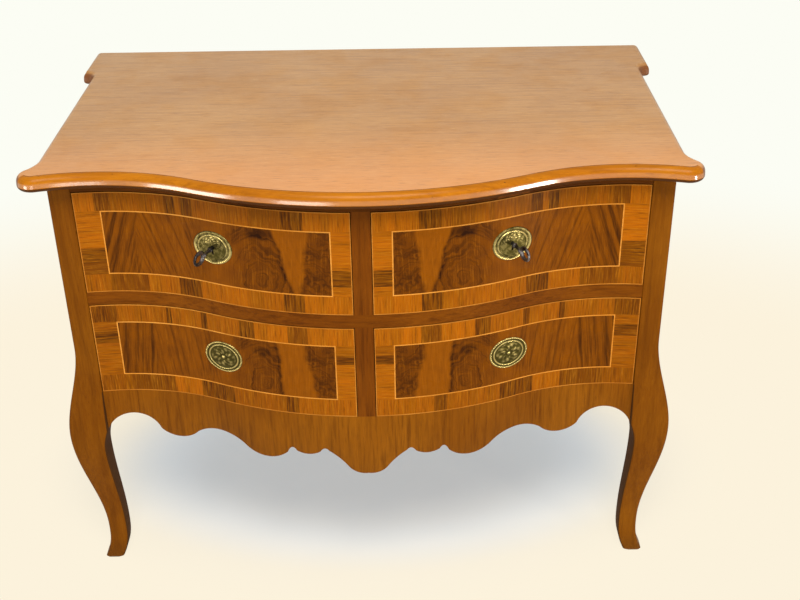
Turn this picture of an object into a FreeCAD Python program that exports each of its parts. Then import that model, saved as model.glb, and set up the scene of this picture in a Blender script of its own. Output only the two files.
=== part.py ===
"""Serpentine-front chest of four drawers on cabriole legs, in millimetres.

+Z is up, the front faces -Y, and the origin lies on the floor under the middle of the top.
"""
import FreeCAD
import Part
import math
import os
from types import SimpleNamespace

Vector = FreeCAD.Vector
doc = FreeCAD.newDocument("serpentine_chest")

# Driving sizes, each set once
SIZES = {
    "height": 815,
    "top_width": 1072,
    "top_depth": 686,
    "top_thickness": 25,
    "edge_strip": 12,
    "edge_rounding": 10,
    "side_recess": 20,
    "rear_block": 115,
    "ear_radius": 26,
    "ear_sweep": 60,
    "front_overhang": 36,
    "rear_overhang": 24,
    "side_overhang": 37,
    "bow": 90,
    "hollow_centre": 410,
    "bow_radius": 600,
    "post_width": 37,
    "post_depth": 48,
    "top_rail": 19,
    "upper_opening": 182.5,
    "middle_rail": 24,
    "lower_opening": 173.5,
    "rail_depth": 60,
    "centre_stile": 30,
    "stile_depth": 30,
    "tenon": 12,
    "tenon_set_back": 8,
    "tenon_thickness": 20,
    "tenon_shoulder": 4,
    "stile_tenon": 9,
    "panel_thickness": 18,
    "panel_recess": 13,
    "panel_groove": 10,
    "side_drop": 62,
    "side_arch": 34,
    "back_thickness": 10,
    "back_inset": 4,
    "back_gap": 1,
    "board_thickness": 13,
    "board_housing": 6,
    "partition": 18,
    "rear_rail": 40,
    "guide_height": 20,
    "kicker_width": 24,
    "stop_inset": 52,
    "stop_width": 40,
    "stop_length": 30,
    "stop_height": 6,
    "stop_clearance": 1,
    "block_side": 30,
    "block_length": 60,
    "apron_thickness": 22,
    "apron_drop": 120,
    "apron_end": 80,
    "pendant_half": 36,
    "pendant_belly": 118,
    "pendant_shoulder": 103,
    "neck_end": 74,
    "neck_curve": 83,
    "neck_top": 70,
    "inner_lobe_end": 131,
    "inner_lobe_crest": 84,
    "inner_lobe_top": 73,
    "middle_lobe_end": 212,
    "middle_lobe_crest": 100,
    "middle_lobe_top": 86,
    "arch_end": 301,
    "arch_crown": 66,
    "arch_foot": 80,
    "outer_lobe_end": 368,
    "outer_lobe_crest": 96,
    "outer_lobe_top": 82,
    "end_arch_crown": 49,
    "knee_drop": 88,
    "knee_out": 31,
    "knee_forward": 12,
    "ankle_height": 72,
    "ankle_width": 34,
    "ankle_inset": 1,
    "ankle_back": 18,
    "calf": 9,
    "toe_out": 14,
    "toe_forward": 7,
    "rear_ankle_inset": 6,
    "drawer_gap": 1.2,
    "run_clearance": 0.4,
    "front_thickness": 24,
    "side_thickness": 12,
    "side_below_front": 6,
    "dovetail_length": 13,
    "dovetail_housing": 2.5,
    "drawer_bottom": 8,
    "bottom_raise": 8,
    "bottom_groove": 5,
    "drawer_back": 12,
    "back_lower": 10,
    "rear_clearance": 12,
    "plate_width": 70,
    "plate_height": 58,
    "plate_thickness": 1.6,
    "plate_bead": 3.2,
    "plate_bedding": 0.5,
    "plate_rim": 8,
    "upper_plate_height": 100,
    "lower_plate_height": 92,
    "keyhole_radius": 4.2,
    "keyhole_slot": 3.6,
    "keyhole_length": 12,
    "lock_width": 76,
    "lock_thickness": 15,
    "lock_below_key": 30,
    "lock_wall": 2,
    "lock_setback": 13,
    "bolt_width": 26,
    "bolt_thickness": 5,
    "bolt_throw": 9,
    "bolt_clearance": 0.5,
    "mortise_clearance": 2.5,
    "strike_width": 56,
    "key_radius": 3,
    "key_collar": 4.6,
    "key_reach": 30,
    "key_bit_length": 13,
    "key_bit_width": 4,
    "key_bit_thickness": 2,
    "key_bow_radius": 9,
    "key_bow_wire": 2.4,
}


class Size:
    """A length that knows both its number and the sheet expression it comes from."""

    def __init__(self, text, value):
        self.text = text
        self.value = float(value)

    def join(self, sign, other, value):
        text = other.text if isinstance(other, Size) else repr(other)
        return Size("(%s %s %s)" % (self.text, sign, text), value)

    def __float__(self):
        return self.value

    def __add__(self, other):
        return self.join("+", other, self.value + float(other))

    def __sub__(self, other):
        return self.join("-", other, self.value - float(other))

    def __mul__(self, other):
        return self.join("*", other, self.value * float(other))

    def __truediv__(self, other):
        return self.join("/", other, self.value / float(other))

    def __neg__(self):
        return Size("(-%s)" % self.text, -self.value)


sheet = doc.addObject("Spreadsheet::Sheet", "Sizes")
for row, (alias, number) in enumerate(SIZES.items(), start=1):
    sheet.set("A%d" % row, alias)
    sheet.set("B%d" % row, str(number))
    sheet.setAlias("B%d" % row, alias)
doc.recompute()
size = SimpleNamespace(**{alias: Size("Sizes." + alias, sheet.get(alias)) for alias in SIZES})

# Places that several pieces share
front = size.front_overhang + size.bow - size.top_depth / 2
back = size.top_depth / 2 - size.rear_overhang
post_outer = size.top_width / 2 - size.side_overhang
post_inner = post_outer - size.post_width
panel_outer = post_outer - size.panel_recess
panel_inner = panel_outer - size.panel_thickness
stile_half = size.centre_stile / 2
underside = size.height - size.top_thickness
upper_ceiling = underside - size.top_rail
upper_floor = upper_ceiling - size.upper_opening
lower_ceiling = upper_floor - size.middle_rail
lower_floor = lower_ceiling - size.lower_opening
board_under = upper_floor - size.board_thickness
bottom_under = lower_floor - size.board_thickness
back_front = back - size.back_inset - size.back_thickness
rear_rail_front = back - size.post_depth
drawer_rear = rear_rail_front - size.rear_clearance
nodes = {}


def keep(name, item):
    item.Label = name
    nodes[name] = item
    return item


def box(name, x, y, z):
    """A board between two expressions along each axis."""
    board = doc.addObject("Part::Box", name)
    for prop, base, span in (("Length", "x", x), ("Width", "y", y), ("Height", "z", z)):
        board.setExpression(prop, (span[1] - span[0]).text)
        board.setExpression("Placement.Base." + base, span[0].text)
    return board


def sided(side, near, far):
    """The span from near to far on the right, or its mirror on the left."""
    return (near, far) if side > 0 else (-far, -near)


def cut(name, base, tools):
    piece = doc.addObject("Part::Cut", name)
    piece.Base = base
    piece.Tool = tools[0] if len(tools) == 1 else fuse(name + "_tools", tools)
    return piece


def fuse(name, items):
    piece = doc.addObject("Part::MultiFuse", name)
    piece.Shapes = items
    return piece


def common(name, items):
    piece = doc.addObject("Part::MultiCommon", name)
    piece.Shapes = items
    return piece


def group(name, items):
    piece = doc.addObject("Part::Compound", name)
    piece.Links = items
    return piece


def plane(body, role):
    return next(item for item in body.Origin.OriginFeatures if item.Role == role)


def padded(name, role, edges, start, length):
    """A body padded from a closed sketch on one of its origin planes."""
    body = doc.addObject("PartDesign::Body", name)
    sketch = body.newObject("Sketcher::SketchObject", name + "_sketch")
    sketch.AttachmentSupport = [(plane(body, role), "")]
    sketch.MapMode = "FlatFace"
    sketch.setExpression("AttachmentOffset.Base.z", start.text)
    for edge in edges:
        sketch.addGeometry(edge, False)
    pad = body.newObject("PartDesign::Pad", name + "_pad")
    pad.Profile = sketch
    pad.setExpression("Length", length.text)
    body.Tip = pad
    return body


def line(start, end):
    return Part.LineSegment(Vector(*start, 0), Vector(*end, 0))


def bend(start, middle, end):
    return Part.Arc(Vector(*start, 0), Vector(*middle, 0), Vector(*end, 0))


def arc_about(centre, radius, start, end):
    """The shorter arc about a centre between two points that lie on it."""
    middle = ((start[0] + end[0]) / 2 - centre[0], (start[1] + end[1]) / 2 - centre[1])
    stretch = radius / math.hypot(*middle)
    return bend(start, (centre[0] + middle[0] * stretch, centre[1] + middle[1] * stretch), end)


def chain(points):
    return [line(a, b) for a, b in zip(points, points[1:])]


# The serpentine in plan: one bowed arc in the middle and a hollow arc at each end, tangent to each other
BOW_RADIUS = float(size.bow_radius)
HOLLOW = float(size.hollow_centre)
RADII = (HOLLOW**2 + float(size.bow)**2) / (2 * float(size.bow))
HOLLOW_RADIUS = RADII - BOW_RADIUS
BOW_CENTRE = (0.0, float(front - size.bow) + BOW_RADIUS)
HOLLOW_CENTRE = (HOLLOW, float(front) - HOLLOW_RADIUS)


def turn_point(depth):
    """Where the bowed arc passes into the hollow one, at a depth behind the face."""
    share = (BOW_RADIUS - depth) / RADII
    return (HOLLOW * share, BOW_CENTRE[1] + (HOLLOW_CENTRE[1] - BOW_CENTRE[1]) * share)


def face_y(x, depth=0.0):
    """How far back the front lies at x, at a depth behind the face."""
    if abs(x) < turn_point(depth)[0]:
        return BOW_CENTRE[1] - math.sqrt((BOW_RADIUS - depth)**2 - x**2)
    return HOLLOW_CENTRE[1] + math.sqrt((HOLLOW_RADIUS + depth)**2 - (abs(x) - HOLLOW)**2)


def serpentine(depth, reach):
    """Three arcs from the left end to the right end, at a depth behind the face."""
    turn = turn_point(depth)
    end = (reach, face_y(reach, depth))
    mirror_turn = (-turn[0], turn[1])
    mirror_end = (-end[0], end[1])
    mirror_centre = (-HOLLOW_CENTRE[0], HOLLOW_CENTRE[1])
    crown = (0.0, face_y(0.0, depth))
    arcs = [arc_about(mirror_centre, HOLLOW_RADIUS + depth, mirror_end, mirror_turn)]
    arcs.append(bend(mirror_turn, crown, turn))
    arcs.append(arc_about(HOLLOW_CENTRE, HOLLOW_RADIUS + depth, turn, end))
    return arcs, mirror_end, end


def slab(name, near, far, low, high):
    """The front's curved thickness between two depths behind the face."""
    reach = float(post_inner + size.tenon)
    front_arcs, front_left, front_right = serpentine(float(near), reach)
    back_arcs, back_left, back_right = serpentine(float(far), reach)
    edges = front_arcs + back_arcs + [line(front_right, back_right), line(back_left, front_left)]
    return padded(name, "XY_Plane", edges, low, high - low)


def behind(name, near, rear, low, high):
    """Everything from a depth behind the face to a straight rear edge."""
    reach = float(post_inner + size.tenon)
    arcs, left, right = serpentine(float(near), reach)
    rear_left = (-reach, float(rear))
    rear_right = (reach, float(rear))
    edges = arcs + chain([right, rear_right, rear_left, left])
    return padded(name, "XY_Plane", edges, low, high - low)


# Top: a board with a rounded moulding glued round its front and sides, mitred at the ears
def top_outline(inset):
    """The plan of the top, a given distance inside its edge, and the centre of its right ear."""
    half = float(size.top_width) / 2
    recess = float(size.side_recess)
    rear = float(size.top_depth) / 2
    overhang = float(size.front_overhang) - inset
    ear = float(size.ear_radius) - inset
    sweep = float(size.ear_sweep) + inset
    ear_x = half - float(size.ear_radius)
    edge_radius = HOLLOW_RADIUS - overhang
    ear_y = HOLLOW_CENTRE[1] + math.sqrt((edge_radius + ear)**2 - (ear_x - HOLLOW)**2)
    sweep_x = half - recess + float(size.ear_sweep)
    sweep_y = ear_y + math.sqrt((sweep + ear)**2 - (sweep_x - ear_x)**2)
    share = edge_radius / (edge_radius + ear)
    ear_start = (HOLLOW + (ear_x - HOLLOW) * share, HOLLOW_CENTRE[1] + (ear_y - HOLLOW_CENTRE[1]) * share)
    share = ear / (ear + sweep)
    ear_end = (ear_x + (sweep_x - ear_x) * share, ear_y + (sweep_y - ear_y) * share)
    ear_tip = (ear_x + ear * math.cos(math.pi / 6), ear_y - ear * math.sin(math.pi / 6))
    cove = recess + inset
    cove_y = rear - float(size.rear_block) - recess
    cove_start = (half - cove, cove_y)
    cove_end = (half - inset, cove_y + math.sqrt(cove**2 - inset**2))
    side_start = (half - cove, sweep_y)
    turn = turn_point(-overhang)
    edges = [bend((-turn[0], turn[1]), (0.0, face_y(0.0, -overhang)), turn)]
    edges.append(line((half - inset, rear), (inset - half, rear)))
    for side in (1, -1):
        def here(point):
            return (side * point[0], point[1])
        edges.append(arc_about(here(HOLLOW_CENTRE), edge_radius, here(turn), here(ear_start)))
        edges.append(bend(here(ear_start), here(ear_tip), here(ear_end)))
        edges.append(arc_about(here((sweep_x, sweep_y)), sweep, here(ear_end), here(side_start)))
        edges.append(line(here(side_start), here(cove_start)))
        edges.append(arc_about(here((half, cove_y)), cove, here(cove_start), here(cove_end)))
        edges.append(line(here(cove_end), here((half - inset, rear))))
    return edges, (ear_x, ear_y)


def mitre(side, ear_centre):
    """The plan of a side moulding's reach: what lies behind a diagonal through the ear."""
    ear_x, ear_y = ear_centre
    reach = float(size.top_width)
    inner = float(size.edge_strip + size.ear_radius)
    corners = [(ear_x + reach, ear_y - reach), (ear_x + reach, reach), (ear_x - inner, reach)]
    corners.append((ear_x - inner, ear_y + inner))
    corners.append(corners[0])
    return chain([(side * x, y) for x, y in corners])


def build_top():
    outer, ear_centre = top_outline(0.0)
    blank = padded("top_blank", "XY_Plane", outer, underside, size.top_thickness)
    inner = top_outline(float(size.edge_strip))[0]
    core = padded("top_core", "XY_Plane", inner, underside, size.top_thickness)
    doc.recompute()
    rounded = doc.addObject("Part::Fillet", "top_rounded")
    rounded.Base = blank
    radius = float(size.edge_rounding)
    rear = float(size.top_depth) / 2
    rims = []
    for number, edge in enumerate(blank.Shape.Edges, start=1):
        reach = edge.BoundBox
        if reach.ZLength < reach.DiagonalLength / 100 and reach.YMin < rear - radius:
            rims.append((number, radius, radius))
    rounded.Edges = rims
    strip = cut("top_strip", rounded, [core])
    keep("top_board", common("top_board_core", [rounded, core]))
    wedges = []
    for side, word in ((1, "right"), (-1, "left")):
        plan = mitre(side, ear_centre)
        wedges.append(padded("mitre_" + word, "XY_Plane", plan, underside, size.top_thickness))
        keep("top_edge_" + word, common("top_edge_strip_" + word, [strip, wedges[-1]]))
    keep("top_edge_front", cut("top_edge_strip_front", strip, wedges))


build_top()


# Legs: each is one piece with its corner post, sawn to a curve from the front and again from the side
HOLLOW_TEXT = "((Sizes.hollow_centre^2 + Sizes.bow^2) / (2 * Sizes.bow) - Sizes.bow_radius)"
ROOT_TEXT = "sqrt(%s^2 - (%s - Sizes.hollow_centre)^2)" % (HOLLOW_TEXT, post_inner.text)
post_front = Size("(%s - %s + %s)" % (front.text, HOLLOW_TEXT, ROOT_TEXT), face_y(float(post_inner)))
post_rear = post_front + size.post_depth
KNEE = float(lower_floor - size.knee_drop)
SWEEP = float(lower_floor + size.knee_drop)
ANKLE = float(size.ankle_height)
TOE_SPLAY = 0.6
TOE_FORWARD_SPLAY = 0.4
CROOK_SLOPE = 0.4
DOWN = (0.0, -1.0)
UP = (0.0, 1.0)


def flow(points, directions):
    """A smooth curve through points, with a direction at each."""
    curve = Part.BSplineCurve()
    places = [Vector(*point, 0) for point in points]
    tangents = [Vector(*direction, 0) for direction in directions]
    curve.interpolate(Points=places, Tangents=tangents, TangentFlags=[True] * len(points))
    return curve


def leg_view(outer_x, inner_x, way, knee, ankle, toe, calf, floor_run):
    """A leg seen square on: way is the direction in which it swells."""
    def out(distance):
        return outer_x + way * distance
    top = float(underside)
    crook = float(lower_floor - size.apron_end)
    width = float(size.ankle_width)
    toe_way = (way * floor_run, -1.0)
    heel_way = (-way * floor_run, 1.0)
    outside = [(outer_x, SWEEP), (out(knee), KNEE), (out(-ankle), ANKLE), (out(toe), 0.0)]
    heel = (out(toe - width), 0.0)
    inside = [heel, (out(-ankle - width), ANKLE), (inner_x + way * calf, KNEE - ANKLE / 2), (inner_x, crook)]
    edges = [line((outer_x, top), outside[0]), flow(outside, [DOWN, DOWN, DOWN, toe_way])]
    edges.append(line(outside[-1], heel))
    edges.append(flow(inside, [heel_way, UP, UP, (-way * CROOK_SLOPE, 1.0)]))
    edges.extend(chain([inside[-1], (inner_x, top), (outer_x, top)]))
    return edges


def leg_blank(name, side, outer_y, inner_y, way, knee, ankle, toe):
    calf = float(size.calf)
    front_view = leg_view(side * float(post_outer), side * float(post_inner), side, float(size.knee_out),
                          float(size.ankle_inset), float(size.toe_out), calf, TOE_SPLAY)
    side_view = leg_view(outer_y, inner_y, way, knee, ankle, toe, calf, TOE_FORWARD_SPLAY)
    depth = size.top_depth
    across = padded(name + "_front_view", "XZ_Plane", front_view, -depth, depth * 2)
    along = padded(name + "_side_view", "YZ_Plane", side_view, -size.top_width, size.top_width * 2)
    return common(name + "_blank", [across, along])


legs = {}
for side, word in ((1, "right"), (-1, "left")):
    legs["front_leg_" + word] = leg_blank(
        "front_leg_" + word, side, float(post_front), float(post_rear), -1, float(size.knee_forward),
        float(size.ankle_back), float(size.toe_forward - size.ankle_back))
    legs["rear_leg_" + word] = leg_blank(
        "rear_leg_" + word, side, float(back), float(rear_rail_front), 1, 0.0,
        float(size.rear_ankle_inset), float(-size.rear_ankle_inset))
leg_blanks = list(legs.values())

# Side panels: grooved into the posts, with an arched lower edge
panels = {}
panel_low = lower_floor - size.side_drop
for side, word in ((1, "right"), (-1, "left")):
    near = float(post_rear - size.panel_groove)
    far = float(rear_rail_front + size.panel_groove)
    low = float(panel_low)
    crown = ((near + far) / 2, low + float(size.side_arch))
    arch = bend((float(post_rear), low), crown, (float(rear_rail_front), low))
    edges = [arch] + chain([(float(rear_rail_front), low), (far, low), (far, float(underside)),
                            (near, float(underside)), (near, low), (float(post_rear), low)])
    start = panel_inner if side > 0 else -panel_outer
    panels[word] = padded("side_blank_" + word, "YZ_Plane", edges, start, size.panel_thickness)

# Front frame: rails, stiles and apron follow the serpentine and are tenoned together behind the face
ZERO = Size("0", 0)
WIDE_Y = (-size.top_depth, size.top_depth)
apron_low = lower_floor - size.apron_drop
rail_slab = slab("rail_slab", ZERO, size.rail_depth, lower_ceiling, underside)
stile_slab = slab("stile_slab", ZERO, size.stile_depth, lower_floor, underside)
tenon_slab = slab("tenon_slab", size.tenon_set_back, size.tenon_set_back + size.tenon_thickness,
                  apron_low, underside)


def framed(name, curve, x, z, tenon_x, tenon_z):
    """A front member: its body between shoulders, and the tenons that reach past them."""
    body = common(name + "_body", [curve, box(name + "_reach", x, WIDE_Y, z)])
    tenons = common(name + "_tenons", [tenon_slab, box(name + "_tenon_reach", tenon_x, WIDE_Y, tenon_z)])
    return fuse(name + "_blank", [body, tenons])


ACROSS = (-post_inner, post_inner)
TENONED = (-post_inner - size.tenon, post_inner + size.tenon)


def rail(name, low, high):
    inner = (low + size.tenon_shoulder, high - size.tenon_shoulder)
    return framed(name, rail_slab, ACROSS, (low, high), TENONED, inner)


def stile(name, low, high):
    narrow = stile_half - size.tenon_shoulder
    reach = (low - size.stile_tenon, high + size.stile_tenon)
    return framed(name, stile_slab, (-stile_half, stile_half), (low, high), (-narrow, narrow), reach)


def apron_edge():
    """The scalloped lower edge: each stretch has where it ends, the drop of its crest and that of its end."""
    top = float(lower_floor)
    reach = float(post_inner)
    stretches = [
        (size.pendant_half, size.pendant_belly, size.pendant_shoulder),
        (size.neck_end, size.neck_curve, size.neck_top),
        (size.inner_lobe_end, size.inner_lobe_crest, size.inner_lobe_top),
        (size.middle_lobe_end, size.middle_lobe_crest, size.middle_lobe_top),
        (size.arch_end, size.arch_crown, size.arch_foot),
        (size.outer_lobe_end, size.outer_lobe_crest, size.outer_lobe_top),
        (post_inner, size.end_arch_crown, size.apron_end),
    ]
    edges = [line((-reach, top), (reach, top))]
    for side in (1, -1):
        last = (0.0, top - float(size.apron_drop))
        for end_x, crest_drop, end_drop in stretches:
            end = (side * float(end_x), top - float(end_drop))
            crest = ((last[0] + end[0]) / 2, top - float(crest_drop))
            edges.append(bend(last, crest, end))
            last = end
        edges.append(line(last, (side * reach, top)))
    return edges


top_rail_blank = rail("top_front_rail", upper_ceiling, underside)
middle_rail_blank = rail("middle_front_rail", lower_ceiling, upper_floor)
upper_stile = keep("centre_stile_upper", stile("centre_stile_upper", upper_floor, upper_ceiling))
lower_stile = keep("centre_stile_lower", stile("centre_stile_lower", lower_floor, lower_ceiling))
apron_slab = slab("apron_slab", ZERO, size.apron_thickness, apron_low, lower_floor)
scallops = padded("apron_scallops", "XZ_Plane", apron_edge(), -size.top_depth, size.top_depth * 2)
apron_tenon_low = lower_floor - size.apron_end + size.tenon_shoulder
apron_tenons = cut("apron_tenons", common("apron_tenon_strip", [tenon_slab, apron_slab, box(
    "apron_tenon_reach", TENONED, WIDE_Y, (apron_tenon_low, lower_floor - size.tenon_shoulder * 5))]),
    [box("apron_between", ACROSS, WIDE_Y, (apron_low, lower_floor))])
apron_blank = fuse("apron_blank", [common("apron_body", [apron_slab, scallops]), apron_tenons])

# Boards: housed in the side panels and notched round the posts, with the drawers running on them
HOUSED = (-panel_inner - size.board_housing, panel_inner + size.board_housing)


def run_board(name, depth, low, high, tenoned_stile):
    region = behind(name + "_plan", depth - size.board_housing, back_front, low, high)
    trimmed = common(name + "_board", [region, box(name + "_reach", HOUSED, WIDE_Y, (low, high))])
    return keep(name, cut(name + "_notched", trimmed, leg_blanks + [tenoned_stile]))


dust_board = run_board("dust_board", size.rail_depth, board_under, upper_floor, upper_stile)
bottom_board = run_board("bottom_board", size.apron_thickness, bottom_under, lower_floor, lower_stile)
rear_span = (rear_rail_front, back_front)
rear_tenon_y = (rear_rail_front + size.panel_groove + size.tenon_shoulder, back_front)
rear_low_under = bottom_under - size.rear_rail


def rear_rail(name, low, high):
    """A straight rail whose tenons stand behind the tongues of the side panels."""
    body = box(name + "_body", ACROSS, rear_span, (low, high))
    tenons = box(name + "_tenons", TENONED, rear_tenon_y, (low, high))
    return keep(name, fuse(name + "_blank", [body, tenons]))


rear_top = rear_rail("rear_top_rail", underside - size.rear_rail, underside)
rear_low = rear_rail("rear_bottom_rail", rear_low_under, bottom_under)

PLANKS = 3
planks = []
plank_height = (underside - rear_low_under + size.back_gap) / PLANKS
plank_reach = (-post_inner - size.board_housing, post_inner + size.board_housing)
plank_y = (back_front, back - size.back_inset)
for number in range(PLANKS):
    low = rear_low_under + plank_height * number
    plank_z = (low, low + plank_height - size.back_gap)
    planks.append(box("back_plank_%d" % number, plank_reach, plank_y, plank_z))
back_boards = keep("back_boards", group("back_planks", planks))

half_partition = size.partition / 2
stile_back = front - size.bow + size.stile_depth
partition_y = (stile_back - size.board_housing, back_front)
partition_x = (-half_partition, half_partition)
upper_wall = box("upper_wall", partition_x, partition_y, (upper_floor, underside))
keep("partition_upper", cut("upper_wall_fitted", upper_wall, [top_rail_blank, upper_stile, rear_top]))
lower_wall = box("lower_wall", partition_x, partition_y, (lower_floor, board_under))
keep("partition_lower", cut("lower_wall_fitted", lower_wall, [middle_rail_blank, lower_stile]))

# Strips glued inside: guides beside the drawers, kickers above, stops in front and blocks below
guides = []
kickers = []
stops = []
blocks = []
stop_front = front + size.front_thickness + size.stop_clearance
stop_middle = post_inner - size.stop_inset
stop_half = size.stop_width / 2
outer_run = (post_rear, rear_rail_front)
inner_run = (front - size.bow + size.rail_depth, rear_rail_front)
for side, word in ((1, "right"), (-1, "left")):
    for level, floor in (("upper", upper_floor), ("lower", lower_floor)):
        rise = (floor, floor + size.guide_height)
        label = level + "_" + word
        guides.append(box("outer_guide_" + label, sided(side, post_inner, panel_inner), outer_run, rise))
        guides.append(box("inner_guide_" + label, sided(side, half_partition, stile_half), inner_run, rise))
        stop_x = sided(side, stop_middle - stop_half, stop_middle + stop_half)
        stop_y = (stop_front, stop_front + size.stop_length)
        stops.append(box("stop_" + label, stop_x, stop_y, (floor, floor + size.stop_height)))
    kicker_x = sided(side, panel_inner - size.kicker_width, panel_inner)
    kicker_y = (front + size.rail_depth, rear_rail_front)
    kickers.append(box("kicker_" + word, kicker_x, kicker_y, (upper_ceiling, underside)))
    block_x = sided(side, panel_inner - size.block_side, panel_inner)
    block_z = (bottom_under - size.block_side, bottom_under)
    blocks.append(box("front_block_" + word, block_x, (post_rear, post_rear + size.block_length), block_z))
    rear_block_y = (rear_rail_front - size.block_length, rear_rail_front)
    blocks.append(box("rear_block_" + word, block_x, rear_block_y, block_z))
keep("drawer_guides", group("guide_strips", guides))
keep("drawer_kickers", group("kicker_strips", kickers))
keep("drawer_stops", group("stop_blocks", stops))
keep("glue_blocks", group("corner_blocks", blocks))

# Drawers: curved fronts, lapped dovetails, a bottom in grooves, and a brass plate bent to the front
DOVETAILS = 3
TAIL_ROOT = 0.21
TAIL_TIP = 0.31
front_slab = slab("drawer_front_slab", ZERO, size.front_thickness, lower_floor, underside)
bottom_front = size.front_thickness - size.bottom_groove
bottom_plan = behind("drawer_bottom_plan", bottom_front, drawer_rear, lower_floor, underside)
plate_slab = slab("plate_slab", -size.plate_thickness, -size.plate_bedding, lower_floor, underside)
bead_slab = slab("bead_slab", -size.plate_bead, -size.plate_bedding, lower_floor, underside)
drawer_near = stile_half + size.drawer_gap
drawer_far = post_inner - size.drawer_gap
plate_x = float(drawer_near + drawer_far) / 2
plate_turn = math.degrees(math.asin(plate_x / BOW_RADIUS))
strike_reaches = []


def drawer_side(name, start, edges_x, low, high):
    """A side whose front end is cut to tails that lap into the drawer front."""
    thickness = float(size.front_thickness)
    shoulder = min(face_y(x, thickness) for x in edges_x) - float(size.dovetail_housing)
    tip = shoulder - float(size.dovetail_length)
    bottom = float(low)
    top = float(high)
    pitch = (top - bottom) / DOVETAILS
    points = [(float(drawer_rear), bottom), (shoulder, bottom)]
    for number in range(DOVETAILS):
        middle = bottom + pitch * (number + 0.5)
        points.append((shoulder, middle - pitch * TAIL_ROOT))
        points.append((tip, middle - pitch * TAIL_TIP))
        points.append((tip, middle + pitch * TAIL_TIP))
        points.append((shoulder, middle + pitch * TAIL_ROOT))
    points.extend([(shoulder, top), (float(drawer_rear), top), points[0]])
    return padded(name, "YZ_Plane", chain(points), start, size.side_thickness)


def at_plate(side):
    """The frame of a plate: x along the front, y into the drawer, z up from the floor."""
    turn = FreeCAD.Rotation(Vector(0, 0, 1), side * plate_turn)
    return FreeCAD.Placement(Vector(side * plate_x, face_y(plate_x), 0), turn)


def local_box(name, place, x, y, z):
    board = doc.addObject("Part::Box", name)
    for prop, span in (("Length", x), ("Width", y), ("Height", z)):
        board.setExpression(prop, (span[1] - span[0]).text)
    corner = Vector(float(x[0]), float(y[0]), float(z[0]))
    board.Placement = place.multiply(FreeCAD.Placement(corner, FreeCAD.Rotation()))
    return board


def local_rod(name, place, radius, y, height):
    rod = doc.addObject("Part::Cylinder", name)
    rod.setExpression("Radius", radius.text)
    rod.setExpression("Height", (y[1] - y[0]).text)
    inward = FreeCAD.Rotation(Vector(1, 0, 0), -90)
    rod.Placement = place.multiply(FreeCAD.Placement(Vector(0, float(y[0]), float(height)), inward))
    return rod


def oval(name, place, height, rim):
    """An oval post through the front, to trim a plate or its raised middle."""
    wide = float(size.plate_width) / 2 - rim
    tall = float(size.plate_height) / 2 - rim
    edge = Part.Ellipse(Vector(0, 0, 0), wide, tall)
    reach = size.plate_width
    body = padded(name, "XZ_Plane", [edge], -reach / 2, reach)
    body.Placement = place.multiply(FreeCAD.Placement(Vector(0, 0, float(height)), FreeCAD.Rotation()))
    return body


def oval_plate(name, place, height):
    base = common(name + "_base", [plate_slab, oval(name + "_oval", place, height, 0.0)])
    middle = oval(name + "_middle", place, height, float(size.plate_rim))
    raised = common(name + "_raised", [bead_slab, middle])
    return fuse(name + "_blank", [base, raised])


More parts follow.
